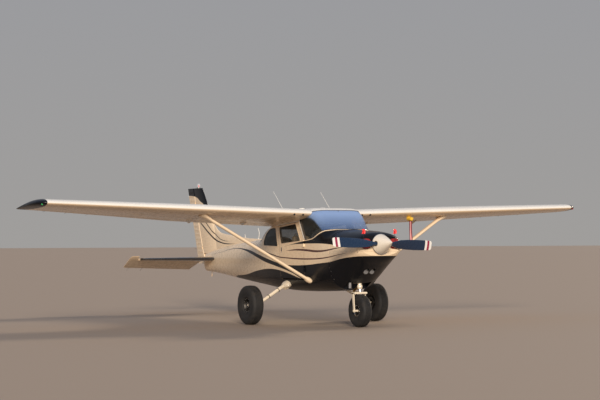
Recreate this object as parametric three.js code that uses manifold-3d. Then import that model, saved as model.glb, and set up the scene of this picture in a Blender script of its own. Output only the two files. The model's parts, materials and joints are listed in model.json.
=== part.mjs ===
// A four-seat, high-wing, strut-braced light aircraft on oversize tyres, parked on its tricycle gear.
// Millimetres, +Z up. The nose points along -Y and the left wing along +X. The ground is at Z = 0.
// Lengths along the aircraft are stations: millimetres aft of the firewall's front face.
import * as THREE from "three";
import { mergeVertices } from "three/addons/utils/BufferGeometryUtils.js";
import Module from "manifold-3d";

// Driving dimensions
const NOSE_STATION = -1245; // spinner tip
const TAIL_STATION = 7000; // rudder's rear top corner
const FIREWALL_Y = -(NOSE_STATION + TAIL_STATION) / 2; // the origin is midway along the aircraft
const GAP = 0.3; // between pieces that touch
const MOVING_GAP = 6; // round a door or a control surface
const SKIN = 40; // cabin wall and door
const COWL_SKIN = 14;
const TAILCONE_SKIN = 16;
const RING_POINTS = 24; // in a body section

const WING = {
  root: 330, // half span where the root is cut by the cabin roof
  taper: 2540, // half span where the taper starts
  tip: 5267, // half span of the tip cap's joint
  halfSpan: 5460,
  rootChord: 1626,
  tipChord: 1120,
  rootLead: 660, // station of the leading edge
  tipLead: 800,
  rootHeight: 1949, // leading edge height on the centreline
  dihedral: Math.tan(THREE.MathUtils.degToRad(1.73)),
  rootPitch: THREE.MathUtils.degToRad(8.0),
  tipPitch: THREE.MathUtils.degToRad(5.1),
  thickness: 0.12,
  camber: 0.02,
};
const FLAP = { from: 640, to: 2530, middle: 1500, cut: 0.7, axisDrop: 28, arms: [1250, 2300], plate: 10, play: 1, pin: 7 };
const TIE_DOWN = { x: 2440, height: 1830 };
const AILERON = { from: 2600, to: 5040, rootAxis: 1990, tipAxis: 1712, noseRoom: 40 };
const STRUT = { foot: [520, 690, 784], head: [2410, 984, 1910], chord: 104, depth: 54 };
const STABILISER = {
  root: 40,
  tip: 1545,
  rootLead: 5320,
  tipLead: 5700,
  leadHeight: 1112,
  hinge: 6050,
  hingeHeight: 1092,
  thickness: 0.085,
};
const ELEVATOR = {
  outer: 1725,
  inner: 105,
  rootChord: 475,
  tipChord: 352,
  horn: 165,
  droop: THREE.MathUtils.degToRad(23 + 4), // parked with the trailing edge down, on its stop
  gap: 8,
  brackets: [330, 1200],
  noseRadius: 30,
};
const FIN = {
  // columns: height, leading edge station, rudder chord
  rows: [
    { height: 1000, lead: 5600, chord: 375 },
    { height: 1250, lead: 5420, chord: 358 },
    { height: 1700, lead: 5640, chord: 328 },
    { height: 2400, lead: 6160, chord: 312 },
    { height: 2560, lead: 6285, chord: 294 },
  ],
  hingeStation: 6178, // at the height below
  hingeHeight: 1250,
  hingeRake: 0.403, // aft for each unit up
  base: 1215,
  thickness: 0.09,
  brackets: [1330, 2250],
};
const MAIN_WHEEL = { x: 1276, station: 1478, radius: 345, width: 226, rim: 130 };
const NOSE_WHEEL = { x: 0, station: -172, radius: 280, width: 186, rim: 92 };
const NOSE_AXIS = { low: [0, -184, 565], high: [0, -118, 1010] }; // the nose wheel's steering line
const PROP = {
  station: -935, height: 1428, tilt: THREE.MathUtils.degToRad(4.5), parked: THREE.MathUtils.degToRad(2),
};
const SPINNER = { base: -880, radius: 166, length: 366, bluntness: 1.1 };
const DOOR = { hingeStation: 862, hingeX: 546, lugs: [930, 1370], lugRadius: 11, lugHeight: 60 };
const BAGGAGE = { hingeStation: 2150, hingeX: 508, lugs: [1010, 1230], lugRadius: 9, lugHeight: 40 };
const FLOOR_HEIGHT = 692;
const TYRE_SIDES = 36;
const AXLE = 19; // radius

// Body sections. Columns: station, belly height, waist height, top height, half width, upper and lower roundness
const body = (station, belly, waist, top, half, upper, lower) => ({
  station, belly, waist, top, half, upper, lower,
});
const COWL_ROWS = [
  body(-852, 1228, 1385, 1572, 385, 2.6, 2.3),
  body(-820, 1188, 1370, 1604, 424, 2.6, 2.3),
  body(-640, 1058, 1330, 1636, 462, 2.7, 2.2),
  body(-420, 908, 1290, 1652, 488, 2.7, 2.3),
  body(-200, 758, 1260, 1661, 504, 2.7, 2.5),
  body(-GAP, 645, 1250, 1666, 514, 2.7, 2.8),
];
const CABIN_ROWS = [
  body(0, 640, 1250, 1667, 515, 2.7, 2.8),
  body(120, 630, 1250, 1690, 519, 2.7, 3.1),
  body(350, 612, 1250, 1848, 524, 3.8, 3.6),
  body(590, 597, 1250, 2010, 527, 7, 4.0),
  body(760, 590, 1250, 2052, 529, 9, 4.2),
  body(1000, 582, 1250, 2058, 530, 8, 4.4),
  body(1500, 578, 1250, 1996, 530, 8, 4.4),
  body(2000, 590, 1235, 1862, 516, 7.5, 4.2),
  body(2340, 604, 1212, 1768, 494, 7, 3.9),
  body(2570, 616, 1193, 1684, 472, 6, 3.6),
  body(2750, 627, 1178, 1612, 452, 3.8, 3.4),
  body(3000, 642, 1160, 1538, 425, 2.6, 3.1),
];
const TAIL_ROWS = [
  body(3000, 642, 1160, 1538, 425, 2.6, 3.1),
  body(3600, 680, 1120, 1488, 354, 2.4, 2.8),
  body(4600, 757, 1100, 1410, 245, 2.3, 2.5),
  body(5400, 823, 1080, 1318, 160, 2.2, 2.4),
  body(6012, 857, 1040, 1216, 84, 2.2, 2.3),
];

// Side outlines, as [station, height] points
const SCREEN_BASE = [[60, 1684], [160, 1682], [270, 1662], [365, 1615], [470, 1562], [580, 1523], [836, 1492]];
const ROOF_FRONT = [[1040, 1843], [976, 1862], [812, 1925], [700, 1985], [606, 2008], [560, 2090]];
const DOOR_TOP = [[1104, 1815], [1886, 1748]];
const REAR_GLASS = [[2412, 1735], [2600, 1560], [2700, 1478], [2940, 1470]];
const WINDSCREEN = [...SCREEN_BASE, ...ROOF_FRONT, [0, 1800]];
const DOOR_OUTLINE = [[868, 800], [868, 1500], ...DOOR_TOP, [1806, 1240], [1790, 800]];
const DOOR_WINDOW = [[1012, 1478], [1186, 1776], [1832, 1716], [1752, 1424]];
const QUARTER_WINDOW = [
  [1895, 1378], [1990, 1706], [2130, 1708], [2278, 1689], [2427, 1610], [2526, 1480], [2548, 1390],
];
const REAR_WINDOW = [[2412, 1900], ...REAR_GLASS, [2940, 1700]];
const BAGGAGE_OUTLINE = [[2156, 960], [2156, 1340], [2600, 1310], [2600, 940]];

// Panels, whose joints run along the outlines above
const BELLY = [[-10, 500], [3010, 500], [3010, 790], [-10, 790]];
const DECK = [[28, 1480], [836, 1480], ...SCREEN_BASE.slice().reverse(), [60, 1760], [28, 1760]];
const FRONT_SIDE = [
  [28, 790], [900, 790], [900, 1500], [1104, 1800], DOOR_TOP[0], ROOF_FRONT[0], [836, 1492], [836, 1480],
  [28, 1480],
];
const ROOF_LINE = [...ROOF_FRONT.slice().reverse(), ...DOOR_TOP, REAR_GLASS[0], [2412, 2200], [560, 2200]];
const REAR_SIDE = [
  [1760, 790], [1776, 1240], [1860, 1749], DOOR_TOP[1], ...REAR_GLASS, [2940, 1800], [3000, 1800], [3000, 790],
];

const wasm = await Module();
wasm.setup();
const aircraft = new THREE.Group();
const add3 = (a, b) => a.map((v, i) => v + b[i]);
const mix = (a, b, t) => a + (b - a) * t;
const atStation = ([x, station, z]) => new THREE.Vector3(x, station + FIREWALL_Y, z);

// Solids

function toSolid(geometry) {
  const bare = geometry.index ? geometry.toNonIndexed() : geometry.clone();
  for (const name of Object.keys(bare.attributes)) if (name !== "position") bare.deleteAttribute(name);
  const merged = mergeVertices(bare, 1e-3);
  const index = merged.index.array;
  const kept = [];
  for (let i = 0; i < index.length; i += 3) {
    const [a, b, c] = [index[i], index[i + 1], index[i + 2]];
    if (a !== b && b !== c && c !== a) kept.push(a, b, c);
  }
  const made = new wasm.Manifold(new wasm.Mesh({
    numProp: 3, vertProperties: merged.attributes.position.array, triVerts: new Uint32Array(kept),
  }));
  return made;
}

function toGeometry(solid) {
  const mesh = solid.getMesh();
  const points = new Float32Array(mesh.numVert * 3);
  for (let i = 0; i < mesh.numVert; i++) {
    points.set(mesh.vertProperties.subarray(i * mesh.numProp, i * mesh.numProp + 3), i * 3);
  }
  const geometry = new THREE.BufferGeometry();
  geometry.setAttribute("position", new THREE.BufferAttribute(points, 3));
  geometry.setIndex(new THREE.BufferAttribute(mesh.triVerts, 1));
  geometry.computeVertexNormals();
  return geometry;
}

// The same solid on the other side of the aircraft.
function mirrored(solid) {
  const geometry = toGeometry(solid);
  geometry.scale(-1, 1, 1);
  const index = geometry.index.array;
  for (let i = 0; i < index.length; i += 3) [index[i + 1], index[i + 2]] = [index[i + 2], index[i + 1]];
  return toSolid(geometry);
}

// A closed solid through rings of [x, station, z] points, each ring with the same count.
function loft(rings) {
  const points = [];
  const triangle = (a, b, c) => points.push(...a, ...b, ...c);
  const placed = rings.map((ring) => ring.map((p) => atStation(p).toArray()));
  const middle = (ring) => [0, 1, 2].map((k) => ring.reduce((sum, p) => sum + p[k], 0) / ring.length);
  const count = rings[0].length;
  const first = placed[0];
  const last = placed[placed.length - 1];
  for (let i = 0; i < count; i++) {
    const j = (i + 1) % count;
    for (let r = 0; r + 1 < placed.length; r++) {
      const [a, b, c, d] = [placed[r][i], placed[r + 1][i], placed[r + 1][j], placed[r][j]];
      // The split runs the other way on the right side, so that both sides are alike.
      if (a[0] + b[0] + c[0] + d[0] >= 0) {
        triangle(a, b, c);
        triangle(a, c, d);
      } else {
        triangle(a, b, d);
        triangle(b, c, d);
      }
    }
    triangle(middle(first), first[i], first[j]);
    triangle(middle(last), last[j], last[i]);
  }
  const geometry = new THREE.BufferGeometry();
  geometry.setAttribute("position", new THREE.Float32BufferAttribute(points, 3));
  const made = toSolid(geometry);
  if (made.volume() > 0) return made;
  return toSolid(geometryTurned(geometry));
}

function geometryTurned(geometry) {
  const points = geometry.attributes.position.array.slice();
  for (let i = 0; i < points.length; i += 9) {
    for (let k = 0; k < 3; k++) {
      [points[i + 3 + k], points[i + 6 + k]] = [points[i + 6 + k], points[i + 3 + k]];
    }
  }
  const turned = new THREE.BufferGeometry();
  turned.setAttribute("position", new THREE.BufferAttribute(points, 3));
  return turned;
}

function block([x0, x1], [s0, s1], [z0, z1]) {
  const geometry = new THREE.BoxGeometry(x1 - x0, s1 - s0, z1 - z0);
  geometry.translate((x0 + x1) / 2, (s0 + s1) / 2 + FIREWALL_Y, (z0 + z1) / 2);
  return toSolid(geometry);
}

// A side outline of [station, height] points, run across the aircraft from x0 to x1.
function prism(outline, x0, x1) {
  const shape = new THREE.Shape(outline.map(([s, z]) => new THREE.Vector2(s, z)));
  const geometry = new THREE.ExtrudeGeometry(shape, { depth: x1 - x0, bevelEnabled: false });
  geometry.applyMatrix4(new THREE.Matrix4().makeBasis(
    new THREE.Vector3(0, 1, 0), new THREE.Vector3(0, 0, 1), new THREE.Vector3(1, 0, 0)));
  geometry.translate(x0, FIREWALL_Y, 0);
  return toSolid(geometry);
}

// A plan outline of [x, station] points, from z0 up to z1.
function slab(outline, z0, z1) {
  const shape = new THREE.Shape(outline.map(([x, s]) => new THREE.Vector2(x, s)));
  const geometry = new THREE.ExtrudeGeometry(shape, { depth: z1 - z0, bevelEnabled: false });
  geometry.translate(0, FIREWALL_Y, z0);
  return toSolid(geometry);
}

// A round rod from a to b, or a cone where the second radius differs.
function rod(a, b, radius, segments = 16, endRadius = radius) {
  const from = atStation(a);
  const to = atStation(b);
  const geometry = new THREE.CylinderGeometry(endRadius, radius, from.distanceTo(to), segments);
  const turn = new THREE.Quaternion().setFromUnitVectors(
    new THREE.Vector3(0, 1, 0), to.clone().sub(from).normalize());
  geometry.applyQuaternion(turn);
  geometry.translate(...from.add(to).multiplyScalar(0.5).toArray());
  return toSolid(geometry);
}

// A solid of revolution about the line through a centre along X, with its lowest vertex straight down.
function wheelRing(profile, x, station, z, segments) {
  const geometry = new THREE.LatheGeometry(profile.map(([r, w]) => new THREE.Vector2(r, w)), segments);
  geometry.rotateZ(-Math.PI / 2);
  geometry.rotateX(Math.PI / 2);
  geometry.translate(x, station + FIREWALL_Y, z);
  const made = toSolid(geometry);
  return made.volume() > 0 ? made : toSolid(geometryTurned(geometry.toNonIndexed()));
}

// Moves each side of an outline inwards by a distance, or outwards where it is negative.
function shrunk(outline, distance) {
  const area = outline.reduce((sum, [s, z], i) => {
    const [s2, z2] = outline[(i + 1) % outline.length];
    return sum + s * z2 - s2 * z;
  }, 0);
  const turn = Math.sign(area);
  const sides = outline.map(([s, z], i) => {
    const [s2, z2] = outline[(i + 1) % outline.length];
    const length = Math.hypot(s2 - s, z2 - z);
    const [nx, nz] = [(-(z2 - z) / length) * turn, ((s2 - s) / length) * turn];
    return { s: s + nx * distance, z: z + nz * distance, ds: s2 - s, dz: z2 - z };
  });
  return sides.map((side, i) => {
    const before = sides[(i + sides.length - 1) % sides.length];
    const cross = before.ds * side.dz - before.dz * side.ds;
    const t = ((side.s - before.s) * side.dz - (side.z - before.z) * side.ds) / cross;
    return [before.s + before.ds * t, before.z + before.dz * t];
  });
}

const join = (...solids) => solids.reduce((a, b) => a.add(b));
const cut = (solid, ...tools) => tools.reduce((a, b) => a.subtract(b), solid);

// Body shapes

function bodyRing(row, inset) {
  const ring = [];
  for (let i = 0; i < RING_POINTS; i++) {
    const angle = (i / RING_POINTS) * Math.PI * 2;
    const up = Math.sin(angle) >= 0;
    const power = 2 / (up ? row.upper : row.lower);
    const reach = up ? row.top - inset - row.waist : row.waist - row.belly - inset;
    const bulge = (v) => Math.sign(v) * Math.abs(v) ** power;
    const side = Math.abs(Math.cos(angle)) < 1e-9 ? 0 : Math.cos(angle);
    ring.push([(row.half - inset) * bulge(side), row.station, row.waist + reach * bulge(Math.sin(angle))]);
  }
  return ring;
}

function bodyLoft(rows, inset = 0, stretch = 0) {
  const rings = rows.map((row) => bodyRing(row, inset));
  if (stretch) {
    rings[0].forEach((p) => (p[1] -= stretch));
    rings[rings.length - 1].forEach((p) => (p[1] += stretch));
  }
  return loft(rings);
}

// Wing sections

const AIRFOIL_UPPER = [0, 0.012, 0.05, 0.12, 0.25, 0.42, 0.6, 0.8, 1];
const AIRFOIL_LOWER = [0.85, 0.6, 0.35, 0.15, 0.05, 0.012];

// Half thickness and camber at a fraction of the chord, as shares of the chord.
function halfThickness(u, thickness) {
  return 5 * thickness * (0.2969 * Math.sqrt(u) - 0.126 * u - 0.3516 * u ** 2 + 0.2843 * u ** 3 - 0.1036 * u ** 4)
    + 0.0012 * u;
}
function camberLine(u, camber) {
  return u < 0.4 ? camber * (5 * u - 6.25 * u * u) : (camber / 0.36) * (0.2 + 0.8 * u - u * u);
}

// What the wing is at one distance x out from the centreline.
function wingAt(x) {
  const t = Math.max(0, (x - WING.taper) / (WING.tip - WING.taper));
  const twist = (x - WING.root) / (WING.tip - WING.root);
  const chord = mix(WING.rootChord, WING.tipChord, t);
  const pitch = mix(WING.rootPitch, WING.tipPitch, twist);
  const lead = mix(WING.rootLead, WING.tipLead, t);
  const height = WING.rootHeight + x * WING.dihedral;
  const point = (u, side, off = 0) => {
    const v = camberLine(u, WING.camber) + side * halfThickness(u, WING.thickness) + (side * off) / chord;
    return [
      x,
      lead + chord * (u * Math.cos(pitch) + v * Math.sin(pitch)),
      height + chord * (v * Math.cos(pitch) - u * Math.sin(pitch)),
    ];
  };
  return { chord, pitch, lead, height, point };
}

function wingRing(x, off = 0) {
  const at = wingAt(x);
  const ring = AIRFOIL_UPPER.map((u) => at.point(u, 1, off));
  AIRFOIL_LOWER.forEach((u) => ring.push(at.point(u, -1, off)));
  if (off) ring[0][1] -= off;
  return ring;
}

// A control surface's section: from its hinge back to the trailing edge, with a wedge nose ahead of the hinge.
function flapRing(x, from, nose) {
  const at = wingAt(x);
  const upper = [from, mix(from, 1, 0.5), 1].map((u) => at.point(u, 1));
  const lower = [mix(from, 1, 0.5), from].map((u) => at.point(u, -1));
  const middle = [x, (upper[0][1] + lower[1][1]) / 2, (upper[0][2] + lower[1][2]) / 2];
  const half = Math.hypot(upper[0][1] - lower[1][1], upper[0][2] - lower[1][2]) / 2;
  const tip = (share) => [x, middle[1] - nose, middle[2] + half * share];
  return { ring: [...upper, ...lower, tip(-0.35), tip(0.35)], middle };
}

const materials = {};
for (const [name, color, roughness, metalness] of [
  ["cream_paint", 0xe6d9bd, 0.3, 0], ["white_paint", 0xf2f0ea, 0.3, 0], ["black_paint", 0x0c0c0e, 0.18, 0],
  ["glass", 0x9fb6c4, 0.05, 0], ["rubber", 0x1c1c1e, 0.85, 0], ["wheel_metal", 0xb9bab8, 0.4, 0.9],
  ["blade_paint", 0x141c30, 0.3, 0], ["red_foam", 0xb0201c, 0.8, 0], ["seat_leather", 0x9a8f7c, 0.7, 0],
  ["panel_plastic", 0x202022, 0.7, 0], ["engine_metal", 0x7c7d7e, 0.5, 0.8], ["steel", 0x9b9b9c, 0.35, 0.9],
  ["red_lens", 0xc01010, 0.1, 0], ["clear_lens", 0xe8eef2, 0.05, 0],
]) materials[name] = new THREE.MeshStandardMaterial({ name, color, roughness, metalness });

function node(name, solid, material) {
  const mesh = new THREE.Mesh(toGeometry(solid), materials[material]);
  mesh.name = name;
  aircraft.add(mesh);
}

// A pair of nodes, left as given and right mirrored.
function pair(name, solid, material) {
  node(name + "_left", solid, material);
  node(name + "_right", mirrored(solid), material);
}

// Cabin

const cabinOuter = bodyLoft(CABIN_ROWS);
const cabinInner = bodyLoft(CABIN_ROWS, SKIN, 10);
const cabinGrown = bodyLoft(CABIN_ROWS, -GAP, GAP);
const tailGrown = bodyLoft(TAIL_ROWS, -GAP, GAP);
const doorHole = (side) => prism(DOOR_OUTLINE, side > 0 ? 200 : -900, side > 0 ? 900 : -200);
const windscreenHole = prism(WINDSCREEN, -900, 900);
const quarterHole = prism(QUARTER_WINDOW, -900, 900);
const rearHole = prism(REAR_WINDOW, -900, 900);
const baggageHole = prism(BAGGAGE_OUTLINE, 200, 900);
const glassLayer = cut(bodyLoft(CABIN_ROWS, 4), bodyLoft(CABIN_ROWS, 12, 10));

function pane(outline, x0, x1) {
  return glassLayer.intersect(prism(shrunk(outline, GAP), x0, x1));
}

// The piece of the cabin shell inside a side outline.
const shell = cut(cabinOuter, cabinInner.intersect(block([-900, 900], [28, 3100], [0, 2500])));
const opened = cut(shell, doorHole(1), doorHole(-1), windscreenHole, quarterHole, rearHole);
const panel = (outline, x0, x1, source = opened) => source.intersect(prism(shrunk(outline, GAP / 2), x0, x1));

// The hinge lugs of a door, either the ones on its frame or the ones on its leaf, which sit above those.
function lugsOn(hinge, onFrame) {
  return join(...hinge.lugs.map((low) => {
    const z = onFrame ? low : low + hinge.lugHeight + GAP;
    const end = hinge.hingeStation + (onFrame ? -22 : 26);
    return join(
      rod([hinge.hingeX, hinge.hingeStation, z], [hinge.hingeX, hinge.hingeStation, z + hinge.lugHeight],
        hinge.lugRadius, 12),
      block([hinge.hingeX - 45, hinge.hingeX], [Math.min(end, hinge.hingeStation), Math.max(end, hinge.hingeStation)],
        [z, z + hinge.lugHeight]));
  }));
}

// Room cut round those lugs in the piece that they turn against.
function roomRound(hinge, onFrame) {
  return hinge.lugs.map((low) => {
    const z = onFrame ? low : low + hinge.lugHeight + GAP;
    return block([hinge.hingeX - 46, hinge.hingeX + 20], [hinge.hingeStation - 26, hinge.hingeStation + 30],
      [z - (onFrame ? 3 : GAP), z + hinge.lugHeight + (onFrame ? GAP : 3)]);
  });
}

function cabin() {
  node("firewall", cabinOuter.intersect(block([-900, 900], [0, 28 - GAP], [790 + GAP, 2000])), "steel");
  node("belly_pan", panel(BELLY, -900, 900), "black_paint");
  node("cowl_deck", panel(DECK, -900, 900), "black_paint");
  node("roof", panel(ROOF_LINE, -900, 900), "white_paint");
  const side = cut(join(panel(FRONT_SIDE, 0, 900), lugsOn(DOOR, true)), ...roomRound(DOOR, false));
  pair("front_side", cut(side, cabinInner), "cream_paint");
  const rear = panel(REAR_SIDE, 0, 900);
  node("rear_side_left",
    cut(join(cut(rear, baggageHole), lugsOn(BAGGAGE, true)), cabinInner, ...roomRound(BAGGAGE, false)), "cream_paint");
  node("rear_side_right", mirrored(rear), "cream_paint");
  node("baggage_bulkhead", bodyLoft(CABIN_ROWS, SKIN + GAP, -GAP).intersect(
    block([-900, 900], [2968, 2990], [0, 2000])), "panel_plastic");
  node("cabin_floor", bodyLoft(CABIN_ROWS, SKIN + GAP).intersect(
    block([-900, 900], [28 + GAP, 2966], [FLOOR_HEIGHT - 20, FLOOR_HEIGHT])), "panel_plastic");
  node("windscreen", pane(WINDSCREEN, -900, 900), "glass");
  node("rear_window", pane(REAR_WINDOW, -900, 900), "glass");
  pair("quarter_window", pane(QUARTER_WINDOW, 100, 900), "glass");
}

function doors() {
  const leaf = shell.intersect(prism(shrunk(DOOR_OUTLINE, MOVING_GAP), 200, 900));
  const door = join(cut(leaf, prism(DOOR_WINDOW, 200, 900)), lugsOn(DOOR, false));
  pair("door", cut(door, cabinInner, ...roomRound(DOOR, true)), "cream_paint");
  pair("door_window", pane(DOOR_WINDOW, 200, 900), "glass");
  const bag = shell.intersect(prism(shrunk(BAGGAGE_OUTLINE, MOVING_GAP), 200, 900));
  node("baggage_door", cut(join(bag, lugsOn(BAGGAGE, false)), cabinInner, ...roomRound(BAGGAGE, true)), "cream_paint");
}

function interior() {
  const trim = bodyLoft(CABIN_ROWS, SKIN + GAP);
  const dash = [[470, 1240], [560, 1200], [600, 1590], [440, 1600], [330, 1560], [330, 1540], [470, 1560]];
  node("instrument_panel", trim.intersect(prism(dash, -470, 470)), "panel_plastic");
  const seatSide = [
    [1060, FLOOR_HEIGHT + 200], [1060, FLOOR_HEIGHT + 330], [1420, FLOOR_HEIGHT + 330],
    [1560, FLOOR_HEIGHT + 900], [1650, FLOOR_HEIGHT + 880], [1530, FLOOR_HEIGHT + 200],
    [1480, FLOOR_HEIGHT + GAP], [1420, FLOOR_HEIGHT + GAP], [1440, FLOOR_HEIGHT + 200],
    [1180, FLOOR_HEIGHT + 200], [1160, FLOOR_HEIGHT + GAP], [1100, FLOOR_HEIGHT + GAP],
    [1120, FLOOR_HEIGHT + 200],
  ];
  pair("front_seat", prism(seatSide, 28, 390), "seat_leather");
  const benchSide = [
    [2020, FLOOR_HEIGHT + GAP], [2020, FLOOR_HEIGHT + 320], [2350, FLOOR_HEIGHT + 320],
    [2450, FLOOR_HEIGHT + 790], [2540, FLOOR_HEIGHT + 770], [2440, FLOOR_HEIGHT + GAP],
  ];
  node("rear_seat", bodyLoft(CABIN_ROWS, SKIN + 12).intersect(prism(benchSide, -460, 460)), "seat_leather");
}

// Engine bay and propeller

function nose() {
  const outer = bodyLoft(COWL_ROWS);
  const inner = bodyLoft(COWL_ROWS, COWL_SKIN, 30);
  const bay = inner.intersect(block([-900, 900], [-836, 40], [0, 3000]));
  const inlets = [-1, 1].map((side) => loft([-900, -780].map((station) => inletRing(side, station, 0))));
  const shaftHole = rod([0, -900, PROP.height], [0, -780, PROP.height], 70);
  const hollow = cut(outer, bay, ...inlets, shaftHole);
  const exit = block([-230, 230], [-190, 40], [500, 790]);
  const lamps = [-58, 58].map((x) => rod([x, -560, 962], [x, -400, 962], 49, 20));
  const split = 1300;
  node("upper_cowl", hollow.intersect(block([-900, 900], [-900, 0], [split + GAP, 2000])), "cream_paint");
  node("lower_cowl", cut(hollow.intersect(block([-900, 900], [-900, 0], [500, split])), exit, ...lamps),
    "black_paint");
  node("engine_block", join(block([-320, 320], [-700, -60], [1225, 1530]),
    rod([-220, -80, 1280], [-220, -GAP, 1280], 20, 8), rod([220, -80, 1280], [220, -GAP, 1280], 20, 8),
    rod([-170, -150, 1240], [-170, -120, 680], 24, 14), rod([0, -690, PROP.height], [0, -876, PROP.height], 42, 16)),
  "engine_metal");
  [-1, 1].forEach((side) => {
    const plug = loft([-862, -790].map((station) => inletRing(side, station, -1)));
    node("inlet_plug_" + (side > 0 ? "left" : "right"), plug, "red_foam");
  });
  node("landing_lamps", join(...[-58, 58].map((x) => rod([x, -462, 962], [x, -428, 962], 48, 20)),
    block([-40, 40], [-436, -428], [985, 1005])), "clear_lens");
}

// The air inlet beside the spinner, narrower where inset is positive.
function inletRing(side, station, inset) {
  const points = 12;
  const ring = [];
  for (let i = 0; i < points; i++) {
    const angle = (i / points) * Math.PI * 2;
    const bulge = (v) => Math.sign(v) * Math.abs(v) ** 0.7;
    const half = 95 + Math.min(0, inset);
    const tall = 92 + Math.min(0, inset);
    ring.push([side * 272 + half * bulge(Math.cos(angle)), station, 1432 + tall * bulge(Math.sin(angle))]);
  }
  return ring;
}

function propeller() {
  const hub = new THREE.Group();
  hub.position.copy(atStation([0, PROP.station, PROP.height]));
  hub.rotation.set(-PROP.tilt, PROP.parked, 0);
  hub.updateMatrixWorld(true);
  const place = (solid) => toSolid(toGeometry(solid).applyMatrix4(hub.matrixWorld));
  const profile = [[0, 0]];
  const steps = 8;
  for (let i = 0; i < steps; i++) {
    const t = i / steps;
    profile.push([SPINNER.radius * Math.cos((t * Math.PI) / 2) ** SPINNER.bluntness, SPINNER.length * t]);
  }
  profile.push([0, SPINNER.length]);
  const cone = new THREE.LatheGeometry(profile.map(([r, h]) => new THREE.Vector2(r, h)), 24);
  cone.rotateX(Math.PI);
  cone.translate(0, SPINNER.base - PROP.station, 0);
  // columns: radius, half chord, half thickness, blade angle in degrees
  const sections = [
    [70, 30, 28, 50], [180, 42, 24, 42], [330, 80, 15, 30], [620, 90, 9, 20], [860, 84, 6, 15],
    [940, 76, 4, 13], [960, 58, 3, 13],
  ];
  const bladeRing = ([radius, half, thick, degrees], side) => {
    const angle = THREE.MathUtils.degToRad(degrees);
    return Array.from({ length: 10 }, (_, i) => {
      const a = (i / 10) * Math.PI * 2;
      const [c, t] = [half * Math.cos(a), thick * Math.sin(a)];
      return [side * radius, -FIREWALL_Y + t * Math.cos(angle) - c * Math.sin(angle) * side,
        c * Math.cos(angle) + t * Math.sin(angle) * side];
    });
  };
  const blades = [1, -1].map((side) => loft(sections.map((row) => bladeRing(row, side))));
  const across = (from, to, radius) => rod([from, -FIREWALL_Y, 0], [to, -FIREWALL_Y, 0], radius, 16);
  const pockets = [1, -1].map((side) => across(side * 40, side * 200, 46));
  node("spinner", place(cut(toSolid(cone), ...pockets, across(-76, 76, 42 + GAP))), "cream_paint");
  node("propeller_blades", place(join(...blades, across(-75, 75, 42))), "blade_paint");
}

// Wings

function wings() {
  const rings = [WING.root, WING.taper, WING.tip].map((x) => wingRing(x));
  const whole = loft(rings);
  const flapFrom = wingAt(1500).point(FLAP.cut, 1)[1];
  const flapBay = block([FLAP.from - MOVING_GAP, FLAP.to + MOVING_GAP], [flapFrom - MOVING_GAP, 2500], [1500, 2400]);
  const aileronBay = slab([
    [AILERON.from - MOVING_GAP, AILERON.rootAxis - AILERON.noseRoom],
    [AILERON.to + MOVING_GAP, AILERON.tipAxis - AILERON.noseRoom],
    [AILERON.to + MOVING_GAP, 2500], [AILERON.from - MOVING_GAP, 2500]], 1500, 2500);
  const plates = FLAP.arms.map((x) => {
    const axis = flapAxis(x);
    const low = wingAt(x).point(0.66, -1);
    return join(
      prism([[low[1] - 130, low[2] + 30], [low[1] + 20, low[2] + 30], [axis.station + 22, axis.height + 10],
        [axis.station + 14, axis.height - 18], [axis.station - 14, axis.height - 18]], x, x + FLAP.plate),
      flapPin(x, FLAP.pin));
  });
  const ring = wingAt(TIE_DOWN.x).point(0.32, -1);
  const tieDown = block([TIE_DOWN.x - 7, TIE_DOWN.x + 7], [ring[1] - 18, ring[1] + 18], [TIE_DOWN.height, ring[2] + 20]);
  pair("wing", join(cut(whole, flapBay, aileronBay, cabinGrown), ...plates, tieDown), "white_paint");
  flaps(flapFrom);
  ailerons();
  tips();
}

// The flap's hinge line lies under the wing and follows its dihedral.
function flapAxis(x) {
  const low = wingAt(FLAP.middle).point(FLAP.cut + 0.03, -1);
  return { station: low[1], height: low[2] - FLAP.axisDrop + (x - FLAP.middle) * WING.dihedral };
}

// The pin of one flap hinge, or the hole for it.
function flapPin(x, radius) {
  const ends = [x + 1, x + 2 * FLAP.plate + 3].map((at) => [at, flapAxis(at).station, flapAxis(at).height]);
  return rod(...ends, radius, 12);
}

function flaps(flapFrom) {
  const from = FLAP.cut + 0.012;
  const rings = [FLAP.from, FLAP.to].map((x) => flapRing(x, from + 0.02, 26).ring);
  const arms = FLAP.arms.map((x) => {
    const low = wingAt(x).point(0.78, -1);
    const axis = flapAxis(x);
    return cut(prism([[low[1] - 40, low[2] + 20], [low[1] + 90, low[2] + 24], [axis.station + 16, axis.height - 16],
      [axis.station - 16, axis.height - 16], [axis.station - 16, axis.height + 12]],
    x + FLAP.plate + FLAP.play, x + 2 * FLAP.plate), flapPin(x, FLAP.pin + GAP));
  });
  const limit = block([0, 6000], [flapFrom, 2600], [1400, 2400]);
  pair("flap", join(loft(rings).intersect(limit), ...arms), "white_paint");
}

function ailerons() {
  const ends = [[AILERON.from, AILERON.rootAxis], [AILERON.to, AILERON.tipAxis]].map(([x, station]) => {
    const at = wingAt(x);
    const from = (station - at.lead) / (at.chord * Math.cos(at.pitch));
    return flapRing(x, from, 27);
  });
  const stubs = ends.map((end, i) => {
    const other = ends[1 - i].middle;
    const reach = (MOVING_GAP - 1.5) / Math.abs(other[0] - end.middle[0]);
    const beyond = (share) => end.middle.map((v, k) => v + (v - other[k]) * reach * share);
    return rod(beyond(-4), beyond(1), 10, 10);
  });
  pair("aileron", join(loft(ends.map((end) => end.ring)), ...stubs), "white_paint");
}

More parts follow.
